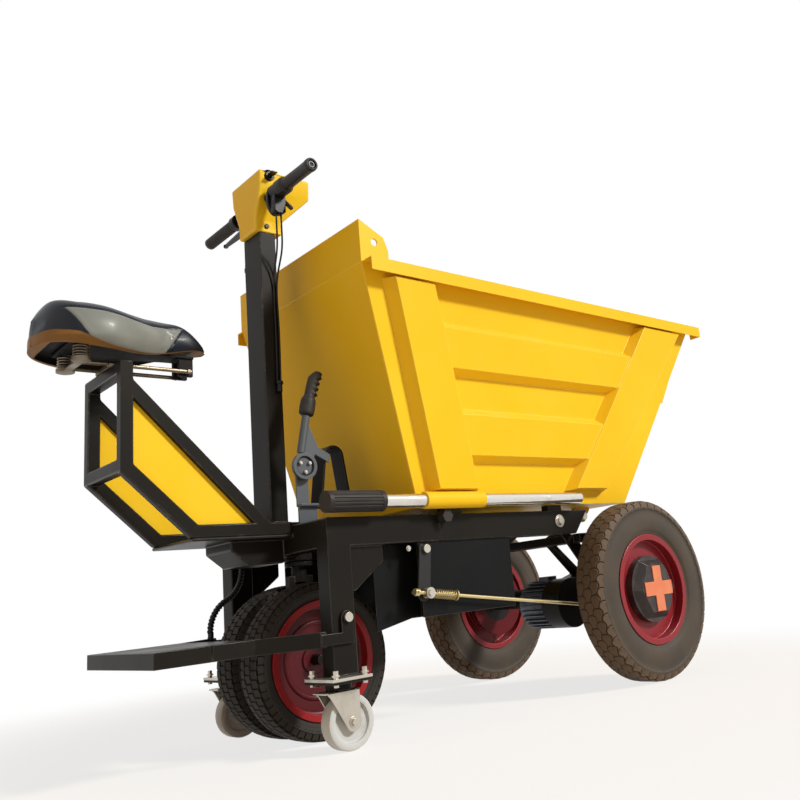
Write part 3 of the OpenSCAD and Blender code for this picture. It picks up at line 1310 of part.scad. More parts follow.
// Wrapped loom: a ribbed hose from the cross beam down to the platform
function loom_at(a) = a <= loom_angle ? [-loom_bend * cos(a), 0, loom_bend * sin(a)] :
    loom_step + loom_bend * [cos(a - 2 * loom_angle), 0, sin(a - 2 * loom_angle)];
module loom() {
    low = [-loom_low_back + loom_bend, loom_y, foot_top_z + loom_low_z + loom_straight];
    steps = [[0.15, loom_r], [0.3, loom_rib_r], [0.7, loom_rib_r], [0.85, loom_r]];
    turns = [for (i = [0 : loom_ribs - 1], q = steps) [2 * loom_angle * (i + q[0]) / loom_ribs, q[1]]];
    path = concat([loom_at(0) - [0, 0, loom_straight]], [for (t = turns) loom_at(t[0])],
        [loom_at(2 * loom_angle) + [0, 0, loom_straight]]);
    radii = concat([loom_r], [for (t = turns) t[1]], [loom_r]);
    ahead() color(black) translate(low) swept_hose(path, radii, loom_bore_r, 8, [0, 1, 0]);
}

// Seat frame: two side frames joined across, with yellow panels
function seat_outline() = [[-seat_back, seat_corner_z], [-seat_bend_back, seat_low_z], [-leg_back, seat_low_z],
    [-leg_back, seat_low_z + seat_tube], [-seat_slope_back, seat_low_z + seat_tube],
    [-seat_back + seat_tube, seat_slope_z], [-seat_back + seat_tube, seat_top_z], [-seat_back, seat_top_z]];
function seat_window() = [[-seat_back + seat_tube, seat_corner_z + seat_tube * 0.55],
    [-seat_bend_back + seat_tube * 0.5, seat_low_z + seat_tube],
    [-seat_slope_back - seat_tube * 1.45, seat_low_z + seat_tube], [-seat_back + seat_tube, seat_slope_z - seat_tube * 1.45]];
module seat_frame() {
    inner = seat_y - seat_tube_w;
    ahead() color(black) {
        both() difference() {
            plate_y(seat_outline(), inner, seat_y);
            plate_y(seat_window(), 0, seat_y + side_gap);
        }
        slab([-seat_back, -inner, seat_top_z - seat_tube], [-seat_back + seat_tube, inner, seat_top_z]);
        slab([-seat_back, -inner, seat_corner_z], [-seat_back + seat_tube, inner, seat_corner_z + seat_tube]);
    }
}
module seat_panels() ahead() color(yellow) both()
    plate_y(seat_window(), seat_y - seat_tube_w / 2 - panel_t, seat_y - seat_tube_w / 2);

// Saddle: cushion, shell, rails with clamp, springs
function ease(u, a, b) = let (t = min(max((u - a) / (b - a), 0), 1)) t * t * (3 - 2 * t);
function saddle_half(u) = let (
    body = nose_y + (saddle_y - nose_y) * (1 - ease(u, 0.3, 0.78)),
    tail = u < 0.3 ? sqrt(max(1 - pow((0.3 - u) / 0.3, 2.4), 0)) : 1,
    nose = u > 0.84 ? sqrt(max(1 - pow((u - 0.84) / 0.16, 2.2), 0)) : 1) max(body * tail * nose, nose_y / 12);
function saddle_crown(u) = saddle_top_z - saddle_dip * ease(u, 0.2, 0.62) - nose_drop * pow(ease(u, 0.72, 1.04), 1.5)
    - nose_drop * 0.9 * pow(1 - ease(u, -0.12, 0.2), 2);
function saddle_edge(u) = saddle_edge_z + edge_rise * ease(u, 0.1, 1);
function saddle_lip(u) = saddle_lip_z + lip_rise * (ease(u, 0.4, 1) + 0.3 * (1 - ease(u, 0, 0.4)));
function saddle_right(u) = let (w = saddle_half(u), top = saddle_crown(u), edge = saddle_edge(u), lip = saddle_lip(u),
    roof = max(hollow_z, lip + shell_t)) concat(
    [for (a = [15 : 15 : 90]) [w * pow(sin(a), 0.75), edge + (top - edge) * pow(cos(a), 0.75)]],
    [[w * 0.96, (edge + 2 * lip) / 3], [w * 0.84, lip], [w * 0.74, lip], [w * 0.7, roof]]);
function saddle_ring(u) = let (r = saddle_right(u), n = len(r) - 1) concat(
    [[0, saddle_crown(u)]], r, [for (i = [n : -1 : 0]) [-r[i].x, r[i].y]]);
module saddle_pad() {
    stations = 22;
    us = [for (i = [0 : stations]) (1 - cos(180 * i / stations)) / 2];
    rings = [for (u = us) [for (q = saddle_ring(u)) [-saddle_back + saddle_l * u, q.x, q.y]]];
    n = len(rings[0]);
    walls = [for (i = [0 : stations - 1], k = [0 : n - 1]) let (a = i * n + k, b = i * n + (k + 1) % n)
        each [[a, b, a + n], [b, b + n, a + n]]];
    points = [for (r = rings) each r];
    ends = [for (k = [1 : n - 2]) each [[0, k + 1, k], [stations * n, stations * n + k, stations * n + k + 1]]];
    ahead() color(black) polyhedron(points = points, faces = concat(walls, ends));
}
module saddle_shell() {
    us = [for (u = [0.14 : 0.04 : 0.9]) u];
    edge = [for (u = us) [-saddle_back + saddle_l * u, saddle_half(u) * 0.62]];
    back = [for (i = [len(edge) - 1 : -1 : 0]) [edge[i].x, -edge[i].y]];
    ahead() color(black) {
        translate([0, 0, hollow_z - shell_t]) linear_extrude(shell_t) polygon(concat(edge, back));
        difference() {
            slab([-rock_back - 3 * shell_t, -nose_y / 2, rail_z - 2 * rail_r],
                [-rock_back + 3 * shell_t, nose_y / 2, hollow_z - shell_t]);
            rod_y(-rock_back, rail_z, rail_r + run_gap, -nose_y, nose_y);
            slab([-rock_back - 4 * shell_t, -nose_y / 4, rail_z - 3 * rail_r],
                [-rock_back + 4 * shell_t, nose_y / 4, hollow_z - 2 * shell_t]);
        }
    }
}
module saddle_rails() {
    clamp_x = -seat_back + seat_tube / 2;
    rail_y = coil_y * 0.6;
    ahead() color(steel) {
        rod_y(-rock_back, rail_z, rail_r, -rail_y - 2 * rail_r, rail_y + 2 * rail_r);
        both() {
            rod_x(rail_y, rail_z, rail_r * 1.1, -coil_back, -rock_back + 2 * rail_r);
            rod_z(-coil_back, coil_y, coil_r + coil_wire, rail_z - rail_r, coil_z);
        }
        slab([-coil_back - coil_r / 2, -coil_y, rail_z - rail_r], [-coil_back + coil_r / 2, coil_y, rail_z]);
        slab([clamp_x - seat_tube / 2, -coil_y * 0.8, seat_top_z], [clamp_x + seat_tube / 2, coil_y * 0.8, rail_z]);
    }
}
module saddle_springs() {
    path = coil_points(coil_r, coil_h - 2 * coil_wire, coil_turns, 8, coil_wire);
    echo("saddle spring least self gap", self_gap(path, coil_wire, 4));
    ahead() color(steel) both() translate([-coil_back, coil_y, coil_z + coil_wire])
        swept_tube(path, coil_wire / 2, 6, undef);
}

rear_frame();
front_beams();
hinge_pin();
frame_bolts();
battery_box();
battery_pack();
axle_housing();
drive_motor();
handbrake_base();
guard_hoop();
rest_pads();
caster_mounts();
loom();
seat_frame();
seat_panels();
saddle_rails();
saddle_springs();
steer_column();
steer_leg();
head_housing();
head_screws();
handlebar();
left_grip();
control_clamps();
key_lock();
control_cables();
twist_grip();
thumb_lever();
hand_lever();
key();
twin_tyre(1);  // twin_tyre_left
twin_rim(1);  // twin_rim_left
twin_tyre(-1);  // twin_tyre_right
twin_rim(-1);  // twin_rim_right
drive_tyre(1);  // drive_tyre_left
drive_rim(1);  // drive_rim_left
hub_cap(1);  // hub_cap_left
drive_tyre(-1);  // drive_tyre_right
drive_rim(-1);  // drive_rim_right
hub_cap(-1);  // hub_cap_right
caster_fork(1);  // caster_fork_left
caster_wheel(1);  // caster_wheel_left
caster_fork(-1);  // caster_fork_right
caster_wheel(-1);  // caster_wheel_right
foot_tray();
foot_arms();
hopper_tray();
hopper_sides();
hopper_rim();
bar_sleeve();
tipping_bar();
bar_grip();
saddle_pad();
saddle_shell();
brake_lever();
lever_grip();
brake_arm();
brake_rod();
rod_spring();
brake_cam();
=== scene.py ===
"""Looks of a ride-on tipping site buggy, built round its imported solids."""
import json
import math

import bmesh
import bpy
from mathutils import Matrix, Vector
from mathutils.bvhtree import BVHTree
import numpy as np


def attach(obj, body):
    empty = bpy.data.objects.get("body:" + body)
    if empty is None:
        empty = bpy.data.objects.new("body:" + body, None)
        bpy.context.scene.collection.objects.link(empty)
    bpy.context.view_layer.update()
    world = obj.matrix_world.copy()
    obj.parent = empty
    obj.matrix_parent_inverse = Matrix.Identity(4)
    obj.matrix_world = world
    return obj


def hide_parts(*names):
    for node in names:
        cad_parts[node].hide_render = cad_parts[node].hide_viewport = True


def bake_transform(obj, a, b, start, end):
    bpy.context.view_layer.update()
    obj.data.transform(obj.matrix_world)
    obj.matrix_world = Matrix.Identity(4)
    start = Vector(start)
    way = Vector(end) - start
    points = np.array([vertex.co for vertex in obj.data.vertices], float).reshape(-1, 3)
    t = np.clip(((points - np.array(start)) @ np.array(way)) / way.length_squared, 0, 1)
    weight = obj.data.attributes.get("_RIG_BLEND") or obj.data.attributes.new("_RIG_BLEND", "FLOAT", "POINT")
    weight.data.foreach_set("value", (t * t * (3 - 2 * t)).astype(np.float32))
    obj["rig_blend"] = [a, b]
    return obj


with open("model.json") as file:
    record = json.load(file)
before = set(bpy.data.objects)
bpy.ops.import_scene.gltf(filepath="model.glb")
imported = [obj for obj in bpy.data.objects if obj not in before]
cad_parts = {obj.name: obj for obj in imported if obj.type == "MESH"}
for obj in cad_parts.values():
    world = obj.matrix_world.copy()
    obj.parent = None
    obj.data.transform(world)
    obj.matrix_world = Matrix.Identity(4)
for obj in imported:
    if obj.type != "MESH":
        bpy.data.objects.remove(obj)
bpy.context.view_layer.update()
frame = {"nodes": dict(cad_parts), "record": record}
scene = bpy.context.scene
scene.view_settings.view_transform = "Standard"
home = {node: body for body, nodes in frame["record"]["behaviour"]["bodies"].items() for node in nodes}

# Places and radii in millimetres, from the drive axle, the middle plane and the ground
AXLE = 540.0
DRIVE_R = 265.0
DRIVE_Y = 355.5
TWIN_X = -983.0
TWIN_R = 189.5
TWIN_Y = 62.5
BAR_X = -1062.0
BAR_Z = 1432.0
LEVER_X = -1041.0
LEVER_Z = 662.0
ARM_X = -788.06
ARM_Z = 322.03
CASTER_X = -1050.0
CASTER_Y = 262.0
SPRING_X = -1552.0
# A tyre's tread: the depth of its grooves, the round of its shoulder and half of its flat
GROOVE = 5.0
SHOULDER = 20.0
FLAT = 27.5
# The saddle's length, the lean of its seams as a share of it, and the values that its points carry
SADDLE_LONG = 404.0
REAR_RAKE = 0.18
FRONT_RAKE = 0.15
SADDLE_MARKS = ("along", "up", "under", "hollow")
SIDES = (("left", 1), ("right", -1))
ACROSS = Vector((0, 1, 0))
UP = Vector((0, 0, 1))


def spot(x, y, z):
    """A point of the buggy in the frame's metres."""
    return Vector(((x + AXLE) / 1000, y / 1000, z / 1000))


def tint(red, green, blue):
    """A colour from its screen values."""
    shares = [value / 255 for value in (red, green, blue)]
    plain = [share / 12.92 if share <= 0.04045 else ((share + 0.055) / 1.055) ** 2.4 for share in shares]
    return (*plain, 1.0)


def set_camera():
    """The photograph's view: low, behind the rider's right hand, looking up along the hopper."""
    yaw = math.radians(46.71)
    pitch = math.radians(14.33)
    roll = math.radians(-5.97)
    look = Vector((math.cos(pitch) * math.cos(yaw), math.cos(pitch) * math.sin(yaw), math.sin(pitch)))
    level = look.cross(UP).normalized()
    upright = level.cross(look)
    side = math.cos(roll) * level + math.sin(roll) * upright
    over = math.cos(roll) * upright - math.sin(roll) * level
    view = bpy.data.cameras.new("view")
    view.sensor_width = 36
    view.lens = 38.02
    view.shift_x = -0.0878
    view.shift_y = -0.0404
    view.clip_end = 60
    eye = bpy.data.objects.new("view", view)
    turn = Matrix((side, over, -look)).transposed().to_4x4()
    eye.matrix_world = Matrix.Translation((-1.63135, -1.99479, 0.33159)) @ turn
    scene.collection.objects.link(eye)
    scene.camera = eye


class Wire:
    """A socket that can be added, scaled and divided in plain expressions."""

    def __init__(self, works, socket):
        self.works = works
        self.socket = socket

    def __getitem__(self, name):
        return Wire(self.works, self.socket.node.outputs[name])

    def __add__(self, other):
        return self.works.math("ADD", self, other)

    def __radd__(self, other):
        return self.works.math("ADD", other, self)

    def __sub__(self, other):
        return self.works.math("SUBTRACT", self, other)

    def __rsub__(self, other):
        return self.works.math("SUBTRACT", other, self)

    def __mul__(self, other):
        return self.works.math("MULTIPLY", self, other)

    def __rmul__(self, other):
        return self.works.math("MULTIPLY", other, self)

    def __truediv__(self, other):
        return self.works.math("DIVIDE", self, other)

    def __mod__(self, other):
        return self.works.math("FLOORED_MODULO", self, other)

    def __abs__(self):
        return self.works.math("ABSOLUTE", self)


class Works:
    """A tree of nodes."""

    def __init__(self, tree):
        self.tree = tree

    def node(self, kind, sockets=(), settings=(), out=0):
        """Adds a node, with its settings first and then the values or links of its sockets."""
        made_node = self.tree.nodes.new(kind)
        for name, value in dict(settings).items():
            setattr(made_node, name, value)
        for key, value in dict(sockets).items():
            if isinstance(value, Wire):
                self.tree.links.new(value.socket, made_node.inputs[key])
            else:
                made_node.inputs[key].default_value = value
        return Wire(self, made_node.outputs[out]) if len(made_node.outputs) else made_node

    def math(self, operation, *values):
        return self.node("ShaderNodeMath", dict(enumerate(values)), {"operation": operation})

    def slope(self, value, low, high):
        """A smooth step from nought at low to one at high."""
        settings = {"interpolation_type": "SMOOTHSTEP"}
        return self.node("ShaderNodeMapRange", {0: value, 1: low, 2: high}, settings)

    def point(self, x, y, z):
        return self.node("ShaderNodeCombineXYZ", {0: x, 1: y, 2: z})


class Finish(Works):
    """A surface finish laid over the place of each point, in metres."""

    def __init__(self, name):
        self.material = bpy.data.materials.new(name)
        self.material.use_nodes = True
        super().__init__(self.material.node_tree)
        self.tree.nodes.clear()
        self.place = self.node("ShaderNodeTexCoord", out="Object")
        apart = self.node("ShaderNodeSeparateXYZ", {0: self.place})
        self.x = apart["X"]
        self.y = apart["Y"]
        self.z = apart["Z"]

    def grain(self, scale, detail=3.0, rough=0.55, stretch=(1, 1, 1), warp=0.0):
        place = self.node("ShaderNodeMapping", {"Vector": self.place, "Scale": stretch})
        sockets = {"Vector": place, "Scale": scale, "Detail": detail, "Roughness": rough, "Distortion": warp}
        return self.node("ShaderNodeTexNoise", sockets)

    def cells(self, scale):
        return self.node("ShaderNodeTexVoronoi", {"Vector": self.place, "Scale": scale}, out="Distance")

    def kept(self, label):
        """A value that the piece carries at each of its points."""
        return self.node("ShaderNodeAttribute", settings={"attribute_name": label}, out="Fac")

    def off_axle(self, x, z):
        """Distance from a wheel's axle, which is given in millimetres."""
        across = self.x - (x + AXLE) / 1000
        up = self.z - z / 1000
        return self.math("SQRT", across * across + up * up)

    def upward(self):
        facing = self.node("ShaderNodeNewGeometry", out="Normal")
        return self.node("ShaderNodeSeparateXYZ", {0: facing})["Z"]

    def mix(self, share, first, second):
        """Between two tones, each of them a wire or a screen colour."""
        tones = [tone if isinstance(tone, Wire) else tint(*tone) for tone in (first, second)]
        return self.node("ShaderNodeMix", {0: share, 6: tones[0], 7: tones[1]}, {"data_type": "RGBA"}, 2)

    def done(self, colour, rough, height, depth, reach=0.0004, sheen=0.5, metal=0.0, coat=0.0):
        """The material, with a bump over the height."""
        bump = self.node("ShaderNodeBump", {"Strength": depth, "Distance": reach, "Height": height})
        sockets = {"Base Color": colour, "Roughness": rough, "Normal": bump, "Metallic": metal,
                   "Specular IOR Level": sheen, "Coat Weight": coat}
        shader = self.node("ShaderNodeBsdfPrincipled", sockets)
        self.node("ShaderNodeOutputMaterial", {"Surface": shader})
        return self.material


def sheet_paint(name, deep, fair, dust, gloss, sheen):
    """Sprayed paint on steel: orange peel, thin scratches, and dust on what faces up."""
    paint = Finish(name)
    cloud = paint.grain(2.3, 4.0)
    patch = paint.grain(9.0, 5.0, 0.6)
    peel = paint.grain(420.0, 2.0)
    scratch = paint.slope(paint.grain(60.0, 3.0, 0.5, (9, 1, 0.35), 0.6), 0.7, 0.75)
    lying = paint.slope(paint.upward(), 0.25, 0.95)
    speck = paint.slope(paint.grain(160.0, 2.0), 0.62, 0.72)
    dusty = (0.05 + 0.4 * lying) * paint.slope(patch, 0.36, 0.78) + 0.2 * speck * lying
    colour = paint.mix(cloud, deep, fair)
    colour = paint.mix(dusty * 0.5, colour, dust)
    colour = paint.mix(scratch * 0.3, colour, dust)
    rough = gloss + 0.14 * patch + 0.2 * dusty + 0.1 * scratch
    return paint.done(colour, rough, peel + scratch * 0.4, 0.1, sheen=sheen)


def edge_wear_and_highlight(name, highlight_tone, bare_tone, gloss, sheen):
    """The rounded edge of a painted sheet, in a lighter tone that is a painted highlight, rubbed through in
    short stretches.
    """
    edge = Finish(name)
    rub = edge.slope(edge.grain(38.0, 4.0, 0.65), 0.52, 0.7)
    # Painted highlight: the edge's own tone is lighter than its sheet; the bare tone is rubbed wear.
    colour = edge.mix(rub * 0.7, highlight_tone, bare_tone)
    bump = edge.grain(300.0, 2.0)
    return edge.done(colour, gloss + 0.15 * rub, bump, 0.08, sheen=sheen, metal=0.35 * rub)


def rubber(name, fresh, dust, gloss):
    """Moulded rubber with a dusty bloom."""
    skin = Finish(name)
    bloom = skin.slope(skin.grain(24.0, 5.0, 0.6), 0.35, 0.75)
    fine = skin.grain(600.0, 2.0)
    colour = skin.mix(bloom * 0.6, fresh, dust)
    return skin.done(colour, gloss + 0.15 * bloom, fine, 0.16, 0.0005, 0.3)


def fluted_rubber():
    """Handle rubber with shallow flutes along its length, darker in their troughs as painted shade."""
    skin = Finish("fluted_rubber")
    turn = skin.math("ARCTAN2", skin.z - BAR_Z / 1000, skin.x - (BAR_X + AXLE) / 1000)
    flute = skin.slope(skin.math("COSINE", turn * 18.0), -0.2, 0.7)
    bloom = skin.slope(skin.grain(30.0, 4.0, 0.6), 0.35, 0.8)
    colour = skin.mix(bloom * 0.5, (30, 27, 25), (64, 54, 46))
    # Painted shade: darker in the troughs of the flutes.
    colour = skin.mix((1.0 - flute) * 0.5, colour, (14, 13, 12))
    return skin.done(colour, 0.46 + 0.15 * bloom, flute, 0.35, 0.0012, 0.35)


def tyre_rubber(name, wall, dust, top, groove_shade):
    """Tyre rubber: smooth dusty walls, rubbed blocks, and deep grooves between them whose floor is darkened
    as painted shade.
    """
    skin = Finish(name)
    raised = skin.kept("raised")
    low = skin.kept("groove_shade")
    bloom = skin.slope(skin.grain(7.0, 4.0, 0.55), 0.3, 0.75)
    grit = skin.slope(skin.grain(230.0, 3.0), 0.52, 0.72)
    colour = skin.mix(bloom * 0.45 + grit * 0.08, wall, dust)
    # Painted shade: the groove floor is darkened towards the groove tone.
    colour = skin.mix(low * 0.9, colour, groove_shade)
    worn = skin.mix(bloom * 0.5 + grit * 0.16, top, dust)
    colour = skin.mix(raised, colour, worn)
    rough = 0.6 + 0.14 * bloom + 0.1 * raised
    return skin.done(colour, rough, skin.grain(340.0, 3.0), 0.12, 0.0005, 0.3)


def bright_metal(name, fair, dull, rough_low, streak):
    """Plated or polished steel with fine lines and faint marks."""
    steel = Finish(name)
    line = steel.grain(90.0, 3.0, 0.6, streak)
    mark = steel.slope(steel.grain(14.0, 5.0, 0.65), 0.42, 0.75)
    colour = steel.mix(mark * 0.6 + line * 0.25, fair, dull)
    return steel.done(colour, rough_low + 0.16 * mark + 0.08 * line, line, 0.06, metal=0.92)


def moulded(name, fair, dull, gloss):
    """Moulded plastic with a fine leathery bump and scuffs."""
    plastic = Finish(name)
    scuff = plastic.slope(plastic.grain(18.0, 5.0, 0.65), 0.5, 0.78)
    colour = plastic.mix(scuff * 0.5, fair, dull)
    return plastic.done(colour, gloss + 0.16 * scuff, plastic.cells(900.0), 0.1, sheen=0.25)


def two_tone(name, scale, first, second, share, gloss, sheen):
    """Paint clouded between a pair of tones, and between a second pair where the share is one."""
    paint = Finish(name)
    patch = paint.grain(scale, 5.0, 0.6)
    colour = paint.mix(share(paint), paint.mix(patch, *first), paint.mix(patch, *second))
    return paint.done(colour, gloss + 0.16 * patch, paint.grain(420.0, 2.0), 0.1, sheen=sheen)


def on_flange(paint):
    """One on the flange round the dish of a steered wheel."""
    return paint.slope(paint.off_axle(TWIN_X, TWIN_R), 0.1255, 0.1275)


def on_back_plate(paint):
    """One on the brake back plates, outside their hubs."""
    outside = paint.slope(paint.off_axle(0, DRIVE_R), 0.0665, 0.0675)
    return outside * paint.slope(abs(paint.y), 0.27, 0.271)


def cap_plastic():
    """Hub cap: dark moulding under a plain orange plus, which stands proud of the face."""
    cap = Finish("hub_cap_moulding")
    proud = cap.slope(abs(cap.y), 0.4112, 0.4118)
    scuff = cap.slope(cap.grain(26.0, 5.0, 0.6), 0.42, 0.75)
    dark = cap.mix(scuff * 0.6, (46, 40, 40), (84, 74, 70))
    orange = cap.mix(scuff * 0.5, (220, 126, 88), (228, 152, 118))
    colour = cap.mix(proud, dark, orange)
    return cap.done(colour, 0.34 + 0.2 * scuff, cap.grain(300.0, 2.0), 0.08, sheen=0.35)


def cover_finish():
    """Saddle cover: coated cloth with a fine pebbled grain and a paler side panel; its dark cloth is tinted
    navy as a painted blue sheen, its underside lip is brown as painted warm shade, and its hollow is
    near-black as painted shade.
    """
    cover = Finish("saddle_cloth")
    seam = cover.kept("seam")
    panel = cover.slope(seam, 0.47, 0.53)
    sewn = 1 - cover.slope(abs(seam - 0.5), 0.03, 0.09)
    under = cover.slope(cover.kept("under"), 0.4, 0.6)
    hollow = cover.slope(cover.kept("hollow"), 0.4, 0.6)
    rub = cover.slope(cover.grain(11.0, 4.0, 0.6), 0.4, 0.8)
    pebble = cover.cells(750.0) + 0.4 * cover.grain(1200.0, 2.0)
    # Painted reflection: the near-black cloth is tinted navy for its blue sheen.
    plain = cover.mix(rub * 0.4, (13, 20, 31), (25, 33, 44))
    side = cover.mix(rub * 0.5, (126, 131, 128), (148, 151, 144))
    # Painted warm shade: the underside lip is brown.
    brown = cover.mix(rub * 0.6, (126, 90, 44), (148, 110, 60))
    colour = cover.mix(panel, plain, side)
    colour = cover.mix(sewn * 0.75, colour, (12, 13, 16))
    colour = cover.mix(under, colour, brown)
    # Painted shade: the hollow under the saddle is near-black.
    colour = cover.mix(hollow, colour, (12, 9, 7))
    rough = 0.36 + 0.08 * rub - 0.04 * panel + 0.2 * under + 0.3 * hollow
    return cover.done(colour, rough, pebble, 0.1, sheen=0.2, coat=0.03)


YELLOW = sheet_paint("yellow_paint", (243, 193, 22), (249, 212, 46), (236, 208, 140), 0.32, 0.12)
# Each edge finish is lighter than its sheet: a painted highlight along the rounded edges, with rubbed wear.
YELLOW_EDGE_WEAR_AND_HIGHLIGHT = edge_wear_and_highlight("yellow_edge", (252, 212, 64), (226, 178, 84), 0.3, 0.25)
BLACK = sheet_paint("black_paint", (25, 24, 22), (35, 33, 30), (76, 64, 50), 0.3, 0.08)
BLACK_EDGE_WEAR_AND_HIGHLIGHT = edge_wear_and_highlight("black_edge", (38, 36, 33), (90, 80, 68), 0.32, 0.25)
RED = sheet_paint("red_paint", (122, 24, 35), (144, 34, 45), (120, 76, 66), 0.32, 0.3)
RED_EDGE_WEAR_AND_HIGHLIGHT = edge_wear_and_highlight("red_edge", (168, 56, 64), (184, 100, 98), 0.3, 0.4)
# The steered rims' dish is darker than their flange: painted shade in the dish.
STEERED_RED_SHADED_DISH = two_tone("steered_rim_paint", 9.0, ((70, 12, 19), (92, 18, 26)),
                    ((132, 24, 31), (160, 34, 40)), on_flange, 0.3, 0.25)
AXLE_PAINT = two_tone("axle_paint", 7.0, ((20, 19, 18), (32, 30, 28)),
                      ((84, 15, 23), (104, 22, 31)), on_back_plate, 0.34, 0.15)
BOX = sheet_paint("box_paint", (14, 15, 17), (23, 24, 26), (72, 62, 50), 0.3, 0.1)
TYRE = tyre_rubber("tyre_rubber", (60, 54, 47), (94, 83, 72), (98, 82, 68), (34, 28, 23))
# The steered tyres are darker than the drive tyres all over: painted shade from the frame above them.
TWIN_TYRE_SHADED = tyre_rubber("steered_tyre_rubber", (34, 31, 27), (54, 47, 40), (38, 34, 28), (12, 10, 8))
GRIP = rubber("grip_rubber", (28, 26, 25), (62, 55, 48), 0.5)
FLUTED = fluted_rubber()
ZINC = bright_metal("zinc_steel", (204, 198, 186), (150, 142, 128), 0.26, (1, 1, 6))
CHROME = bright_metal("chrome_bar", (226, 223, 216), (196, 190, 178), 0.1, (0.4, 12, 12))
BRAKE_GREY = sheet_paint("brake_grey", (66, 72, 80), (86, 93, 101), (126, 118, 106), 0.32, 0.4)
BRAKE_EDGE_WEAR_AND_HIGHLIGHT = edge_wear_and_highlight("brake_edge", (110, 116, 122), (156, 156, 152), 0.3, 0.4)
MOTOR = bright_metal("motor_casting", (104, 108, 114), (58, 61, 66), 0.42, (1, 1, 1))
GOLD_ZINC = bright_metal("gold_zinc_steel", (216, 198, 146), (156, 132, 80), 0.26, (1, 1, 6))
RAIL = bright_metal("rail_steel", (150, 136, 114), (84, 70, 54), 0.34, (1, 6, 1))
ARM = sheet_paint("arm_paint", (38, 39, 42), (50, 51, 54), (96, 84, 70), 0.3, 0.2)
NYLON = moulded("white_nylon", (196, 201, 204), (158, 158, 154), 0.36)
PLASTIC = moulded("black_plastic", (15, 15, 17), (40, 38, 36), 0.4)
SHELL = rubber("saddle_shell", (13, 10, 8), (26, 20, 15), 0.7)
THREAD = moulded("seam_thread", (34, 36, 40), (52, 53, 54), 0.6)
CAP = cap_plastic()
COVER = cover_finish()


def join_rings(skin, rings, caps=False, again=False):
    """Walls between neighbouring rings of points."""
    pairs = list(zip(rings, rings[1:]))
    if again:
        pairs.append((rings[-1], rings[0]))
    for low, high in pairs:
        for k in range(len(low)):
            n = (k + 1) % len(low)
            skin.faces.new((low[k], low[n], high[n], high[k]))
    if caps:
        skin.faces.new(rings[0][::-1])
        skin.faces.new(rings[-1])


def circle(sides):
    """Evenly spaced points on a circle of radius one."""
    turns = [2 * math.pi * k / sides for k in range(sides)]
    return [(math.cos(turn), math.sin(turn)) for turn in turns]


def arc(x, y, radius, angles):
    """Points on an arc, by their angles in degrees."""
    turns = [math.radians(angle) for angle in angles]
    return [(x + radius * math.cos(turn), y + radius * math.sin(turn)) for turn in turns]


def turned(skin, profile, centre, axis, sides, caps=False):
    """Spins a profile of radius and place along the axis, in millimetres: a closed one, or one with caps."""
    side = axis.orthogonal().normalized()
    over = axis.cross(side)
    rings = []
    for radius, along in profile:
        ring = []
        for c, s in circle(sides):
            reach = side * c + over * s
            ring.append(skin.verts.new(centre + (reach * radius + axis * along) / 1000))
        rings.append(ring)
    join_rings(skin, rings, caps, not caps)


def flowing(points, spans):
    """Points on a smooth curve through the given ones."""
    ends = [2 * points[0] - points[1], *points, 2 * points[-1] - points[-2]]
    flow = []
    for before, a, b, after in zip(ends, ends[1:], ends[2:], ends[3:]):
        for k in range(spans):
            t = k / spans
            bend = (2 * before - 5 * a + 4 * b - after) * t * t + (3 * a - before - 3 * b + after) * t ** 3
            flow.append(a + ((b - before) * t + bend) / 2)
    flow.append(points[-1])
    return flow


def swept(path, radius, sides):
    """Rings of a round tube along a path, in metres; the radius may follow the way along and the turn."""
    rings = []
    side = None
    last = len(path) - 1
    for i, point in enumerate(path):
        ahead = (path[min(i + 1, last)] - path[max(i - 1, 0)]).normalized()
        side = side or ahead.orthogonal()
        side = (side - ahead * side.dot(ahead)).normalized()
        over = ahead.cross(side)
        ring = []
        for k, (c, s) in enumerate(circle(sides)):
            reach = radius(i / last, k / sides) if callable(radius) else radius
            ring.append(point + (side * c + over * s) * reach)
        rings.append(ring)
    return rings


def length_of(path):
    return sum((b - a).length for a, b in zip(path, path[1:]))


def made(name, skin, finishes, crease=35.0):
    """A piece from a worked skin, its faces turned outwards."""
    bmesh.ops.recalc_face_normals(skin, faces=skin.faces[:])
    mesh = bpy.data.meshes.new(name)
    skin.to_mesh(mesh)
    skin.free()
    for finish in finishes:
        mesh.materials.append(finish)
    mesh.shade_smooth()
    mesh.set_sharp_from_angle(angle=math.radians(crease))
    piece = bpy.data.objects.new(name, mesh)
    scene.collection.objects.link(piece)
    return piece


def plain_mesh(piece):
    """Works the piece's modifiers into its mesh."""
    graph = bpy.context.evaluated_depsgraph_get()
    mesh = bpy.data.meshes.new_from_object(piece.evaluated_get(graph))
    piece.modifiers.clear()
    piece.data = mesh


def settled(piece, body, slot, *stands_for):
    """Puts a piece on its body and in place of solids; its material slot is not used."""
    if body:
        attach(piece, body)
    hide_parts(*stands_for)
    return piece


def placed(name, skin, finish, crease, body, slot, *stands_for):
    """A piece of one finish from a worked skin, settled."""
    return settled(made(name, skin, [finish], crease), body, slot, *stands_for)


def lofted(rings):
    """A capped skin over rings of points."""
    skin = bmesh.new()
    join_rings(skin, [[skin.verts.new(point) for point in ring] for ring in rings], True)
    return skin


def copied(node):
    """A merged copy of a solid's skin."""
    solid = frame["nodes"][node].data
    loose = bpy.data.meshes.new("loose")
    loose.from_pydata([v.co for v in solid.vertices], [], [p.vertices[:] for p in solid.polygons])
    skin = bmesh.new()
    skin.from_mesh(loose)
    bpy.data.meshes.remove(loose)
    bmesh.ops.remove_doubles(skin, verts=skin.verts[:], dist=2e-6)
    return skin


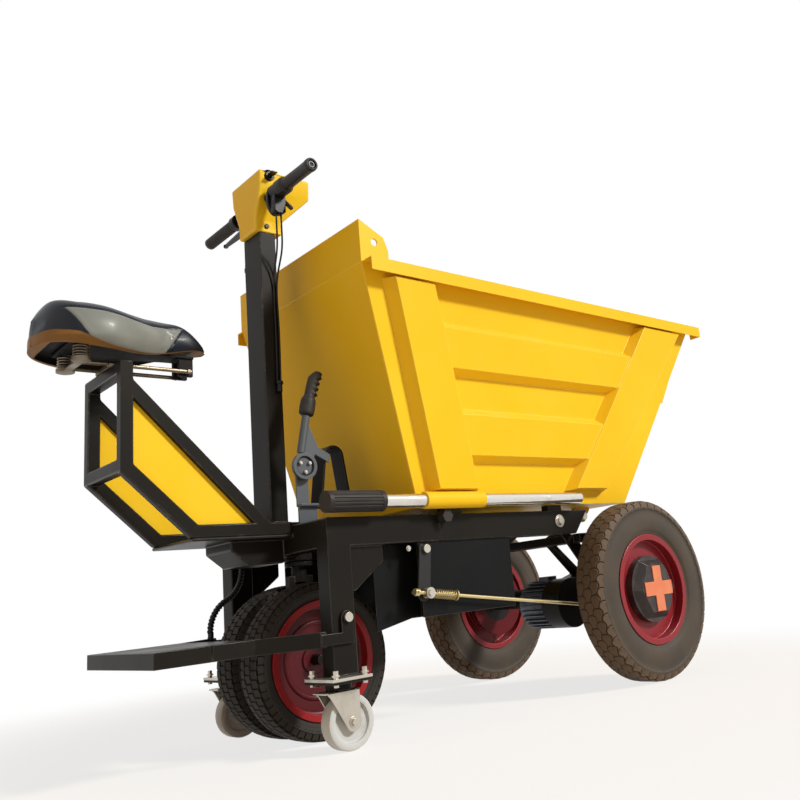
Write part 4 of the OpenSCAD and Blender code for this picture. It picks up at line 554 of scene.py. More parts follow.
def softened(node, width, finish, edge, slot, segments, whole_faces=True):
    """A solid with its edges rounded over, in its finish."""
    skin = copied(node)
    if whole_faces:
        flat = math.radians(0.4)
        bmesh.ops.dissolve_limit(skin, angle_limit=flat, verts=skin.verts[:], edges=skin.edges[:])
    piece = made(node + "_dressed", skin, [finish, edge])
    rounded = piece.modifiers.new("rounded", "BEVEL")
    rounded.width = width / 1000
    rounded.segments = segments
    rounded.limit_method = "ANGLE"
    rounded.angle_limit = math.radians(32)
    rounded.use_clamp_overlap = False
    # The rounded edges take the second finish, which on painted sheets carries a painted highlight.
    rounded.material = 1
    weighed = piece.modifiers.new("weighed", "WEIGHTED_NORMAL")
    weighed.keep_sharp = True
    plain_mesh(piece)
    return settled(piece, home[node], slot, node)


class Pattern(Works):
    """A tree that repeats a shape, with named sizes."""

    def __init__(self, name, sizes):
        super().__init__(bpy.data.node_groups.new(name, "GeometryNodeTree"))
        sockets = self.tree.interface
        sockets.new_socket("Geometry", in_out="OUTPUT", socket_type="NodeSocketGeometry")
        sockets.new_socket("Geometry", in_out="INPUT", socket_type="NodeSocketGeometry")
        for label, kind in sizes.items():
            sockets.new_socket(label, in_out="INPUT", socket_type="NodeSocket" + kind)
        self.given = self.node("NodeGroupInput")

    def join(self, *shapes):
        both = self.tree.nodes.new("GeometryNodeJoinGeometry")
        for shape in shapes:
            self.tree.links.new(shape.socket, both.inputs[0])
        return Wire(self, both.outputs[0])

    def spread(self, points, shape, turn=(0, 0, 0)):
        """The shape on each of the points, as one mesh."""
        shapes = {"Points": points, "Instance": shape, "Rotation": turn}
        laid = self.node("GeometryNodeInstanceOnPoints", shapes)
        return self.node("GeometryNodeRealizeInstances", {0: laid})

    def stood(self, shape, turn):
        """The shape on each given point."""
        return self.spread(self.node("GeometryNodeMeshToPoints", {0: self.given["Geometry"]}), shape, turn)

    def turn(self, label, axis, pivot="AUTO", start=(0, 0, 0)):
        """A turn that lays an axis along the way that each point keeps under a label."""
        way = self.node("GeometryNodeInputNamedAttribute", {"Name": label}, {"data_type": "FLOAT_VECTOR"})
        settings = {"axis": axis, "pivot_axis": pivot}
        return self.node("FunctionNodeAlignRotationToVector", {"Rotation": start, "Vector": way}, settings)

    def wire(self, line, sides):
        """A round wire along a line."""
        size = {"Resolution": sides, "Radius": self.given["Wire"]}
        ring = self.node("GeometryNodeCurvePrimitiveCircle", size)
        return self.node("GeometryNodeCurveToMesh", {"Curve": line, "Profile Curve": ring, "Fill Caps": True})

    def smooth(self, shape):
        return self.node("GeometryNodeSetShadeSmooth", {0: shape})

    def clad(self, shape, finish):
        return self.node("GeometryNodeSetMaterial", {"Geometry": shape, "Material": self.given[finish]})

    def done(self, shape):
        self.node("NodeGroupOutput", {0: shape})
        return self


def grown(piece, pattern, **sizes):
    """Runs a pattern on a piece and keeps the plain mesh."""
    grower = piece.modifiers.new("pattern", "NODES")
    grower.node_group = pattern.tree
    for item in pattern.tree.interface.items_tree:
        label = item.name.replace(" ", "_").lower()
        if item.in_out == "INPUT" and label in sizes:
            grower[item.identifier] = sizes[label]
    plain_mesh(piece)
    return piece


def tread_pattern():
    """Lays staggered rows of blocks out flat, then wraps them round a tyre and over its shoulders."""
    sizes = {"Block": "Object", "Around": "Int", "Rows": "Int", "Row pitch": "Float", "Radius": "Float",
             "Flat": "Float", "Shoulder": "Float", "Depth": "Float", "Centre": "Vector", "Rubber": "Material"}
    tread = Pattern("tread", sizes)
    given = tread.given
    around = given["Around"]
    radius = given["Radius"]
    shoulder = given["Shoulder"]
    index = tread.node("GeometryNodeInputIndex")
    row = tread.math("FLOOR", index / around)
    pitch = 2 * math.pi * radius / around
    reach = (index - row * around + 0.5 * (row % 2)) * pitch
    seat = tread.point(reach, (row - (given["Rows"] - 1) / 2) * given["Row pitch"], 0)
    points = tread.node("GeometryNodePoints", {"Count": around * given["Rows"], "Position": seat})
    block = tread.node("GeometryNodeObjectInfo", {"Object": given["Block"]}, out="Geometry")
    place = tread.node("ShaderNodeSeparateXYZ", {0: tread.node("GeometryNodeInputPosition")})
    lift = place["Z"]
    raised = tread.slope(lift, given["Depth"] * -0.75, given["Depth"] * -0.15)
    kept = {"Geometry": tread.spread(points, block), "Name": "raised", "Value": raised}
    marked = tread.node("GeometryNodeStoreNamedAttribute", kept, {"data_type": "FLOAT", "domain": "POINT"})
    off = abs(place["Y"])
    lean = tread.math("MINIMUM", tread.math("MAXIMUM", (off - given["Flat"]) / shoulder, 0.0), math.pi / 2)
    down = tread.math("MAXIMUM", off - given["Flat"] - shoulder * (math.pi / 2), 0.0)
    out = radius - shoulder + (shoulder + lift) * tread.math("COSINE", lean) - down
    wide = tread.math("MINIMUM", off, given["Flat"]) + (shoulder + lift) * tread.math("SINE", lean)
    turn = place["X"] / radius
    wrapped = tread.point(out * tread.math("SINE", turn), wide * tread.math("SIGN", place["Y"]),
                          out * tread.math("COSINE", turn))
    moved = tread.node("ShaderNodeVectorMath", {0: wrapped, 1: given["Centre"]}, {"operation": "ADD"})
    bent = tread.node("GeometryNodeSetPosition", {"Geometry": marked, "Position": moved})
    return tread.done(tread.join(given["Geometry"], tread.clad(bent, "Rubber")))


def block_shape(outline, chamfer):
    """A tread block on its outline, in millimetres, with a chamfered top and its root in the carcass."""
    skin = bmesh.new()
    rings = []
    for lift, share in ((-GROOVE - 1.5, 1.06), (-chamfer, 1.0), (0.0, 1.0 - chamfer / 12)):
        rings.append([skin.verts.new(Vector((x * share, y * share, lift)) / 1000) for x, y in outline])
    join_rings(skin, rings)
    skin.faces.new(rings[-1])
    return made("tread_block", skin, [], 30)


def tyre(node, centre, radius, wall, block, finish, around, row_pitch):
    """A lathed carcass with its tread blocks."""
    skin = bmesh.new()
    turned(skin, wall + [(reach, -along) for reach, along in reversed(wall)], centre, ACROSS, 96)
    piece = made(node + "_treaded", skin, [finish], 40)
    # The floor between the blocks is marked for its painted shade.
    groove_shade = piece.data.attributes.new("groove_shade", "FLOAT", "POINT")
    floor = (radius - 16) / 1000
    for vert, low in zip(piece.data.vertices, groove_shade.data):
        off = vert.co - centre
        low.value = 1.0 if math.hypot(off.x, off.z) > floor else 0.0
    grown(piece, TREAD, block=block, centre=centre, rubber=finish, around=around, rows=5,
          row_pitch=row_pitch / 1000, radius=radius / 1000, flat=FLAT / 1000, shoulder=SHOULDER / 1000,
          depth=GROOVE / 1000)
    return settled(piece, home[node], "tyre_rubber", node)


def wall_profile(radius, bead, flank):
    """The tyre's side from its bead to the middle of the groove floor."""
    side = [(bead - 12, 36.1), (bead + 1, 36.1), (bead + 5, 39.4), (bead + 7, 39.6), (bead + 9, 40.6)]
    side += [(radius - SHOULDER - down, FLAT + SHOULDER - inset) for down, inset in flank]
    return side + arc(radius - SHOULDER, FLAT, SHOULDER - GROOVE, range(90, -1, -15))


def add_tyres():
    """Wave-shaped blocks on the drive tyres, and stepped bricks on the steered ones."""
    half = 17.6
    crest = [(half * k / 3, 11.7 + 4.2 * math.sin(math.pi * k / 3.22)) for k in range(-3, 4)]
    bulge = [(2.8, 6), (3.8, 0), (2.8, -6)]
    wave = crest + [(half + x, y) for x, y in bulge] + [(x, -y) for x, y in reversed(crest)]
    wave += [(x - half, -y) for x, y in bulge]
    wave_block = block_shape(wave, 1.3)
    brick = [(-9.4, -12.4), (-2, -12.4), (2, -10.6), (9.4, -10.6)]
    brick += [(9.4, 12.4), (2, 12.4), (-2, 10.6), (-9.4, 10.6)]
    brick_block = block_shape(brick, 1.2)
    flank = [(72, 4.6), (64, 2.2), (55, 0.6), (45, 0.0), (36, 0.5), (27, 1.8), (19, 3.2), (12, 3.4), (8, 2.4),
             (5.5, -0.3), (2, -0.6), (-0.5, 0.9)]
    drive_wall = wall_profile(DRIVE_R, 162, flank)
    low_flank = [(14, 4.6), (9, 1.8), (6, 0.8), (3, 0.0), (1, -0.6), (-0.5, 0.9)]
    twin_wall = wall_profile(TWIN_R, 144, low_flank)
    for name, side in SIDES:
        drive = spot(0, side * DRIVE_Y, DRIVE_R)
        tyre("drive_tyre_" + name, drive, DRIVE_R, drive_wall, wave_block, TYRE, 44, 26)
        twin = spot(TWIN_X, side * TWIN_Y, TWIN_R)
        tyre("twin_tyre_" + name, twin, TWIN_R, twin_wall, brick_block, TWIN_TYRE_SHADED, 56, 27)
    for block in (wave_block, brick_block):
        bpy.data.objects.remove(block)


def spring_pattern():
    """A coil of round wire standing on each point."""
    sizes = {"Turns": "Float", "Radius": "Float", "Height": "Float", "Wire": "Float", "Steel": "Material"}
    spring = Pattern("spring", sizes)
    given = spring.given
    spiral = {"Resolution": 24, "Rotations": given["Turns"], "Start Radius": given["Radius"],
              "End Radius": given["Radius"], "Height": given["Height"]}
    wound = spring.wire(spring.node("GeometryNodeCurveSpiral", spiral), 8)
    coils = spring.stood(wound, spring.turn("facing", "Z"))
    return spring.done(spring.clad(spring.smooth(coils), "Steel"))


def seats(name, places):
    """Points, each with the way that it faces, for a pattern to stand shapes on."""
    mesh = bpy.data.meshes.new(name)
    mesh.from_pydata([place for place, _ in places], [], [])
    facing = mesh.attributes.new("facing", "FLOAT_VECTOR", "POINT")
    facing.data.foreach_set("vector", [value for _, way in places for value in way])
    piece = bpy.data.objects.new(name, mesh)
    scene.collection.objects.link(piece)
    return piece


def add_springs():
    """Coils under the saddle, and the return spring on the brake's rod."""
    coils = [(spot(SPRING_X, side * 56, 922), UP) for _, side in SIDES]
    piece = seats("saddle_coils", coils)
    grown(piece, SPRING, turns=4.25, radius=0.017, height=0.029, wire=0.002, steel=RAIL)
    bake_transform(piece, "chassis", "saddle", spot(SPRING_X, 0, 920), spot(SPRING_X, 0, 952))
    settled(piece, None, "zinc_steel", "saddle_springs")
    slope = math.radians(7.8)
    way = Vector((math.cos(slope), 0, -math.sin(slope)))
    foot = spot(ARM_X, -288, ARM_Z) + way * 0.0195
    coil = seats("rod_coil", [(foot, way)])
    grown(coil, SPRING, turns=11.0, radius=0.0115, height=0.068, wire=0.001, steel=GOLD_ZINC)
    settled(coil, "rod", "zinc_steel", "rod_spring")


def loom_path():
    """The loom's middle line: straight ends and two equal bends between them."""
    bend = 86.0
    last = math.radians(63)
    rise = (187 - 2 * bend * math.sin(last)) / 2
    low = Vector((-1140 + bend, 194, 263 + rise))
    path = [low + Vector((-bend, 0, -rise)), low + Vector((-bend, 0, -rise / 2))]
    steps = 72
    for i in range(steps + 1):
        turn = 2 * last * i / steps
        if turn <= last:
            off = Vector((-bend * math.cos(turn), 0, bend * math.sin(turn)))
        else:
            back = turn - 2 * last
            off = Vector((-2 * bend * math.cos(last) + bend * math.cos(back), 0,
                          2 * bend * math.sin(last) + bend * math.sin(back)))
        path.append(low + off)
    path.append(path[-1] + Vector((0, 0, rise / 2)))
    path.append(path[-1] + Vector((0, 0, rise / 2)))
    return [spot(*point) for point in path]


def add_loom():
    """Wires in a spiral wrap, from the cross beam down to the platform."""
    path = loom_path()

    def wrap(along, turn):
        phase = (along * 22 - turn) % 1
        return 0.0067 + 0.0017 * min(1, max(0, 2.4 - abs(phase - 0.5) * 6.5))

    skin = lofted(swept(flowing(path, 3), wrap, 16))
    piece = made("loom_wrapped", skin, [PLASTIC], 60)
    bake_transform(piece, "foot_platform", "chassis", path[0], path[-1])
    settled(piece, None, "black_plastic", "loom")
    length_of(path)


def add_control_cables():
    """Two cables from the switch pod into a gland on the column."""
    pod = BAR_Z - 66
    front = -1032
    for k, name in enumerate(("throttle_cable", "switch_cable")):
        x = BAR_X + (k - 0.5) * 15
        off = (1 - k) * 10
        corners = [(x, -119, pod), (x, -119, pod - 36), (x + 18, -84.5, pod - 90),
                   (front - 5 - off, -50, pod - 180), (front - 5 - off, -50, pod - 324),
                   (front - 7.5 - off, -50, pod - 468)]
        path = flowing([spot(*corner) for corner in corners], 7)
        skin = lofted(swept(path, 0.0025, 10))
        piece = placed(name, skin, PLASTIC, 60, "steering", "black_plastic", "control_cables")
        length_of(path)
    gland = [(6, -14), (8, -12), (8, 8), (10.5, 8), (10.5, 16), (6, 18)]
    skin = bmesh.new()
    turned(skin, gland, spot(-1044, -50, 892), UP, 18, True)
    placed("cable_gland", skin, PLASTIC, 30, "steering", "black_plastic")


def ease(share, low, high):
    """A smooth step from nought at low to one at high."""
    t = min(max((share - low) / (high - low), 0), 1)
    return t * t * (3 - 2 * t)


def saddle_half(u):
    """Half width of the saddle, from its tail at nought to its nose at one."""
    body = 46 + 94 * (1 - ease(u, 0.3, 0.78))
    tail = math.sqrt(max(1 - ((0.3 - u) / 0.3) ** 2.4, 0)) if u < 0.3 else 1
    nose = math.sqrt(max(1 - ((u - 0.84) / 0.16) ** 2.2, 0)) if u > 0.84 else 1
    return max(body * tail * nose, 46 / 12)


def saddle_crown(u):
    back = 63 * (1 - ease(u, -0.12, 0.2)) ** 2 + 24 * (1 - ease(u, 0, 0.1)) ** 2
    rear = 6 * ease(u, 0.06, 0.2) * (1 - ease(u, 0.35, 0.6))
    return 1064 - 18 * ease(u, 0.2, 0.62) - 72 * ease(u, 0.75, 1.05) ** 1.6 - back - rear


def saddle_x(u):
    return -1635 + SADDLE_LONG * u - 13 * (1 - ease(u, 0, 0.45))


def saddle_lip(u):
    return 930 + 40 * (ease(u, 0.4, 1) + 0.3 * (1 - ease(u, 0, 0.4)))


def saddle_side(u):
    """Points down one side at a station: across, up, share of the height, lip and hollow."""
    wide = saddle_half(u)
    top = saddle_crown(u)
    edge = 955 + 28 * ease(u, 0.1, 1)
    lip = saddle_lip(u)
    open_share = ease(u, 0.06, 0.11) * (1 - ease(u, 0.86, 0.93))
    roof = lip + (max(958, lip + 6) - lip) * open_share
    brink = lip + 3 + 26 * (1 - ease(u, 0.02, 0.36))
    side = [(0.0, top)]
    for k in range(1, 23):
        a = math.radians(90 * k / 22)
        side.append((wide * math.sin(a) ** 0.75, edge + (top - edge) * max(math.cos(a), 0) ** 0.75))
    tuck = ((0.99, 0.22), (0.965, 0.44), (0.93, 0.66), (0.89, 0.84), (0.85, 0.95), (0.81, 1.0), (0.77, 1.0))
    for share, drop in tuck:
        side.append((wide * share, edge - (edge - lip) * drop))
    side = [(y, z, min(1, max(0, (brink - z) / 16 + 0.5)), 0) for y, z in side]
    side.append((wide * 0.735, lip, 1, 0))
    lift = roof - lip
    inner = ((0.71, 0.06, 0.6), (0.7, 0.3, 1), (0.69, 1, 1), (0.52, 1, 1), (0.34, 1, 1), (0.17, 1, 1))
    for share, rise, inside in inner:
        side.append((wide * share, lip + lift * rise, 1 - inside * open_share, inside * open_share))
    return [(y, z, max(0.0, (z - lip) / (top - lip)), under, hollow) for y, z, under, hollow in side]


def add_saddle():
    """The cushion, lofted, blown up under its cover and sewn."""
    skin = bmesh.new()
    labels = [skin.verts.layers.float.new(label) for label in SADDLE_MARKS]
    stations = 110
    rings = []
    for i in range(stations + 1):
        u = 0.4 * i / stations + 0.6 * (1 - math.cos(math.pi * i / stations)) / 2
        side = saddle_side(u)
        middle = (0.0, *side[-1][1:])
        loop = side + [middle] + [(-y, *rest) for y, *rest in reversed(side[1:])]
        ring = []
        for y, *rest in loop:
            vert = skin.verts.new(spot(saddle_x(u), y, rest[0]))
            for label, value in zip(labels, (u, *rest[1:])):
                vert[label] = value
            ring.append(vert)
        rings.append(ring)
    join_rings(skin, rings, True)
    bmesh.ops.recalc_face_normals(skin, faces=skin.faces[:])
    skin.normal_update()
    for vert in skin.verts:
        vert.co -= vert.normal * 0.003
    piece = made("saddle_cushion", skin, [COVER], 180)
    puff(piece)
    finer = piece.modifiers.new("finer", "SUBSURF")
    finer.levels = 1
    finer.render_levels = 1
    plain_mesh(piece)
    sew(piece)
    piece.data.shade_smooth()
    settled(piece, "saddle", "saddle_cover", "saddle_pad")
    stitch(piece)


def puff(piece):
    """Air under the cover, with the lip and the hollow held."""
    before = [vert.co.copy() for vert in piece.data.vertices]
    held = piece.vertex_groups.new(name="held")
    marks = piece.data.attributes
    rows = enumerate(zip(marks["under"].data, marks["hollow"].data))
    low = [k for k, (under, hollow) in rows if under.value + hollow.value > 0.2]
    held.add(low, 1.0, "REPLACE")
    cloth = piece.modifiers.new("cover", "CLOTH")
    cloth.settings.use_pressure = True
    cloth.settings.uniform_pressure_force = 4.0
    cloth.settings.vertex_group_mass = "held"
    cloth.settings.effector_weights.gravity = 0
    cloth.point_cache.frame_end = 20
    for moment in range(1, 21):
        scene.frame_set(moment)
    plain_mesh(piece)
    scene.frame_set(1)
    cap = 0.006
    for vert, start in zip(piece.data.vertices, before):
        shift = vert.co - start
        if shift.length > cap:
            vert.co = start + shift * (cap / shift.length)


def rear_seam(up):
    return 0.225 - REAR_RAKE * up


def front_seam(up):
    return 0.705 + FRONT_RAKE * up


def panel_top(u):
    return 0.7 + 0.08 * ease(u, 0.4, 0.7)


def sew(piece):
    """Seams pressed into the cover, and the panel between them."""
    mesh = piece.data
    seam = mesh.attributes.new("seam", "FLOAT", "POINT")
    marks = [mesh.attributes[label].data for label in SADDLE_MARKS]
    moves = []
    for k, (vert, along, up, under, hollow) in enumerate(zip(mesh.vertices, *marks)):
        u = along.value
        t = up.value
        tall = saddle_crown(u) - saddle_lip(u)
        rear = (u - rear_seam(t)) / math.hypot(1 / SADDLE_LONG, REAR_RAKE / tall)
        fore = (front_seam(t) - u) / math.hypot(1 / SADDLE_LONG, FRONT_RAKE / tall)
        over = (panel_top(u) - t) * tall
        near = min(rear, fore, over)
        skin_share = 1 - min(1, under.value + hollow.value)
        seam.data[k].value = min(1, max(0, 0.5 + near / 24))
        line = math.exp(-(near / 1.5) ** 2) * skin_share
        roll = math.exp(-((near - 6) / 4) ** 2) * skin_share
        moves.append((vert.co.copy(), vert.normal * (0.0009 * roll - 0.0019 * line) * ease(t, 0, 0.1)))
    for vert, (start, move) in zip(mesh.vertices, moves):
        vert.co = start + move


def stitch_pattern():
    """A short bent thread on each point, lying along the seam."""
    sewing = Pattern("stitches", {"Length": "Float", "Wire": "Float", "Thread": "Material"})
    given = sewing.given
    bow = {"Start": sewing.point(given["Length"] * -0.5, 0.0, 0.0),
           "Middle": sewing.point(0.0, 0.0, given["Wire"] * 2.2),
           "End": sewing.point(given["Length"] * 0.5, 0.0, 0.0), "Resolution": 4}
    yarn = sewing.wire(sewing.node("GeometryNodeCurveQuadraticBezier", bow), 6)
    laid = sewing.stood(yarn, sewing.turn("course", "X", "Z", sewing.turn("facing", "Z")))
    return sewing.done(sewing.clad(sewing.smooth(laid), "Thread"))


def stitch(piece):
    """Thread beside each seam of the cover."""
    skin = bmesh.new()
    skin.from_mesh(piece.data)
    cover = BVHTree.FromBMesh(skin)
    skin.free()
    places = []
    courses = []
    lines = [[(rear_seam(k / 80) - 0.009, k / 80) for k in range(24, 56)],
             [(front_seam(k / 80) + 0.009, k / 80) for k in range(20, 54)],
             [(0.13 + 0.67 * k / 80, panel_top(0.13 + 0.67 * k / 80) + 0.03) for k in range(0, 81)]]
    for line in lines:
        for side in (1, -1):
            run = []
            for u, t in line:
                up = saddle_lip(u) + t * (saddle_crown(u) - saddle_lip(u))
                hit, normal, _, _ = cover.ray_cast(spot(saddle_x(u), side * 260, up), -side * ACROSS)
                if hit:
                    run.append((hit, normal))
            gone = 0.0
            for (a, facing), (b, _) in zip(run, run[1:]):
                gone += (b - a).length
                if gone > 0.0062:
                    gone = 0.0
                    places.append((a, facing))
                    courses.append((b - a).normalized())
    dots = seats("saddle_stitches", places)
    course = dots.data.attributes.new("course", "FLOAT_VECTOR", "POINT")
    course.data.foreach_set("vector", [value for way in courses for value in way])
    settled(grown(dots, STITCH, length=0.0042, wire=0.00045, thread=THREAD), "saddle", "saddle_cover")


def bolt_pattern():
    """A six-sided head on a round washer at each point."""
    bolting = Pattern("bolt_heads", {"Head": "Float", "Tall": "Float", "Steel": "Material"})
    wide = bolting.given["Head"]
    tall = bolting.given["Tall"]
    head = bolting.node("GeometryNodeMeshCylinder", {"Vertices": 6, "Radius": wide, "Depth": tall})
    lift = bolting.point(0.0, 0.0, tall * 0.7)
    raised = bolting.node("GeometryNodeTransform", {0: head, "Translation": lift})
    disc = {"Vertices": 20, "Radius": wide * 1.45, "Depth": tall * 0.4}
    both = bolting.join(raised, bolting.node("GeometryNodeMeshCylinder", disc))
    return bolting.done(bolting.clad(bolting.stood(both, bolting.turn("facing", "Z")), "Steel"))


def bolted(name, body, places, head, tall):
    """Bright bolt heads, sized in millimetres."""
    piece = grown(seats(name, places), BOLT, head=head / 1000, tall=tall / 1000, steel=ZINC)
    return settled(piece, body, "zinc_steel")


def slab(skin, low, high):
    """A block between two corners, in millimetres."""
    around = ((low[0], low[1]), (high[0], low[1]), (high[0], high[1]), (low[0], high[1]))
    rings = [[skin.verts.new(spot(x, y, z)) for x, y in around] for z in (low[2], high[2])]
    join_rings(skin, rings, True)


def add_fittings():
    """Bolt heads, the screws of the lever's pivot, a black ring of painted shadow round that pivot, bright
    foot plates and the steered rims' pressed rings.
    """
    out = -ACROSS
    bolted("arm_pin_head", "arm", [(spot(ARM_X, -299.4, ARM_Z), out)], 9.5, 5)
    bolted("skin_bolt", "chassis", [(spot(-822, -266, 436), out)], 5, 3)
    screws = [(spot(x, -156.3, z), out) for x, z in arc(LEVER_X, LEVER_Z, 15.3, (30, 150, 270))]
    bolted("pivot_screws", "chassis", screws, 3.0, 2.2)
    # A thin black ring round the lever's pivot: a painted shadow in the gap round it.
    skin = bmesh.new()
    gap = [(21.5, 0), (25.2, 0), (25.2, 0.8), (21.5, 0.8)]
    turned(skin, gap, spot(LEVER_X, -150, LEVER_Z), out, 40)
    placed("pivot_gap", skin, PLASTIC, 35, "chassis", "black_plastic")
    skin = bmesh.new()
    for _, side in SIDES:
        middle = side * CASTER_Y
        slab(skin, (CASTER_X - 53, middle - 59.5, 154.2), (CASTER_X + 53, middle + 59.5, 160.5))
    placed("foot_plate_facing", skin, ZINC, 35, "chassis", "zinc_steel")
    bead = [(83, 6.6), (85, 9.4), (88, 10.6), (92, 10.6), (95, 9.4), (97, 6.6)]
    lip = [(118, 6.6), (119, 12), (122, 15), (127.2, 16), (127.2, 6.6)]
    for name, side in SIDES:
        skin = bmesh.new()
        for profile in (bead, lip):
            turned(skin, profile, spot(TWIN_X, side * TWIN_Y, TWIN_R), side * ACROSS, 72)
        placed("steered_rim_rings_" + name, skin, STEERED_RED_SHADED_DISH, 35, "twin_wheel_" + name, "red_rim")


def add_casters():
    """Pressed forks with rounded cheeks, nylon wheels with a raised rim, and bolts in the foot plates."""
    trail = 18
    radius = 61
    round_end = arc(trail, radius, 20, range(216, 361, 8))
    cheek = [(-46, 131.5), (-46, 126), (-40, 120), *round_end, (38, 131.5)]
    half = [(6.3, 18.6), (13, 18.6), (14, 17.6), (14, 12.5), (17, 11.5), (41, 11.5), (44, 13.5), (45.5, 18.4),
            (47, 19), (56, 19), (59.5, 17.4), (61, 13.5)]
    wheel = half + [(reach, -along) for reach, along in reversed(half)]
    tall = []
    for name, side in SIDES:
        middle = side * CASTER_Y
        axle = spot(CASTER_X + trail, middle, radius)
        skin = bmesh.new()
        for near in (1, -1):
            walls = []
            for off in (22, 26):
                y = middle + near * off
                walls.append([skin.verts.new(spot(CASTER_X + x, y, z)) for x, z in cheek])
            join_rings(skin, walls, True)
        slab(skin, (CASTER_X - 54, middle - 26, 127.5), (CASTER_X + 38, middle + 26, 131.5))
        turned(skin, [(8, 131), (8, 147)], spot(CASTER_X, middle, 0), UP, 24, True)
        turned(skin, [(6, -29), (6, 29)], axle, ACROSS, 24, True)
        piece = made("caster_fork_pressed_" + name, skin, [ZINC])
        rounded = piece.modifiers.new("rounded", "BEVEL")
        rounded.width = 0.0012
        rounded.segments = 2
        plain_mesh(piece)
        settled(piece, "caster_swivel_" + name, "zinc_steel", "caster_fork_" + name)
        nuts = [(axle + near * 0.0268 * ACROSS, near * ACROSS) for near in (1, -1)]
        bolted("caster_nuts_" + name, "caster_swivel_" + name, nuts, 8.5, 5)
        skin = bmesh.new()
        turned(skin, wheel, axle, ACROSS, 64)
        node = "caster_wheel_" + name
        placed("caster_wheel_turned_" + name, skin, NYLON, 30, home[node], "white_nylon", node)
        for i in (1, -1):
            tall += [(spot(CASTER_X + i * 38.5, middle + j * 49.5, 166.5), UP) for j in (1, -1)]
    bolted("foot_plate_bolts", "chassis", tall, 6.4, 9)


def lathe_grip(node, profile, finish):
    """A grip turned about the handlebar."""
    skin = bmesh.new()
    turned(skin, profile, spot(BAR_X, 0, BAR_Z), ACROSS, 40, True)
    placed(node + "_moulded", skin, finish, 40, home[node], "soft_rubber", node)


def ribbed(start, end, radius, rib, count):
    """A profile with evenly spaced round ribs."""
    profile = []
    pitch = (end - start) / count
    for k in range(count):
        low = start + k * pitch
        profile += [(radius, low), (radius, low + pitch * 0.3), (radius + rib, low + pitch * 0.45),
                    (radius + rib, low + pitch * 0.85)]
    return profile


def add_grips():
    """The ribbed left grip, and the twist grip with its collar and end ring."""
    ribs = ribbed(140, 285, 16.2, 1.3, 14)
    left = [(11.5, 132), (18.5, 132), (18.5, 136), (16.4, 137.5), *ribs, (17.5, 287), (17.5, 296),
            (15.5, 299), (6, 299)]
    lathe_grip("left_grip", left, GRIP)
    right = [(11.5, -132), (23, -132), (24, -133), (24, -162), (23, -165.5), (19.4, -167.5), (18.4, -170),
             (17.6, -200), (17.2, -240), (17.4, -284), (18.4, -286), (18.6, -293), (17.6, -298), (15, -299.4),
             (13, -299.4), (12, -297), (11, -292), (7, -292), (6.4, -294.5), (2, -295.5)]
    lathe_grip("twist_grip", right, FLUTED)
    skin = bmesh.new()
    ring = [(5.5, -292.5), (8.5, -292.5), (9.4, -294.5), (8.5, -297), (6.5, -297)]
    turned(skin, ring, spot(BAR_X, 0, BAR_Z), ACROSS, 32)
    placed("grip_end_ring", skin, BRAKE_GREY, 50, "throttle", "brake_grey")


def add_pod():
    """The switch pod's rounded foot and the flange that it is clamped to."""
    rings = []
    for along, trim in ((-131.5, 1.6), (-129.5, 0.0), (-108.5, 0.0), (-106.5, 1.6)):
        wide = 17.5 - trim
        ring = []
        for k in range(25):
            turn = math.pi * k / 24
            ring.append((math.cos(turn) * wide, 1371 - math.sin(turn) * (9.5 - trim)))
        ring += [(-wide, 1412), (-15, 1420), (15, 1420), (wide, 1412)]
        rings.append([spot(BAR_X + x, along, z) for x, z in ring])
    placed("pod_case", lofted(rings), PLASTIC, 40, "steering", "black_plastic")
    rings = []
    for along, trim in ((-104, 2.0), (-102, 0.0), (-95, 0.0), (-93, 2.0)):
        ring = [((24 - trim) * c, (46 - trim) * s) for c, s in circle(40)]
        rings.append([spot(BAR_X + x, along, 1412 + z) for x, z in ring])
    placed("pod_flange", lofted(rings), PLASTIC, 40, "steering", "black_plastic")


def add_lever_grip():
    """A finger grip with ridges on its front."""
    lean = math.radians(12)
    tilt = math.radians(16)
    foot = spot(LEVER_X, -140, LEVER_Z)
    along = Vector((math.sin(lean), 0, math.cos(lean)))
    across = Vector((math.cos(lean), 0, -math.sin(lean)))
    base = foot + across * -0.010 + along * (0.034 + 0.100 + 0.0014)
    rise = Vector((math.sin(tilt), 0, math.cos(tilt)))
    front = Vector((math.cos(tilt), 0, -math.sin(tilt)))
    rings = []
    steps = 84
    for i in range(steps + 1):
        share = i / steps
        waist = ease(share, 0.3, 0.44)
        body = 0.0196 - 0.0056 * waist + 0.0008 * math.sin(math.pi * min(1, share / 0.36))
        tip = math.sqrt(max(0.03, 1 - max(0, (share - 0.9) / 0.1) ** 2.4))
        heel = math.sqrt(max(0.6, 1 - max(0, (0.05 - share) / 0.05) ** 2 * 0.4))
        wave = 0.5 + 0.5 * math.cos(2 * math.pi * (share - 0.475) / 0.125)
        ridge = 0.0074 * wave ** 0.8 * ease(share, 0.4, 0.46) * (1 - ease(share, 0.86, 0.9))
        hook = front * (0.009 * ease(share, 0.8, 0.97)) - front * (0.002 * math.sin(math.pi * share))
        ring = []
        for c, s in circle(24):
            reach = (body + ridge * max(0.0, c) ** 0.6) * tip * heel
            way = front * c + ACROSS * (0.92 * s)
            ring.append(base + rise * (0.1285 * share) + hook + way * reach)
        rings.append(ring)
    placed("lever_grip_moulded", lofted(rings), GRIP, 50, "handbrake", "soft_rubber", "lever_grip")


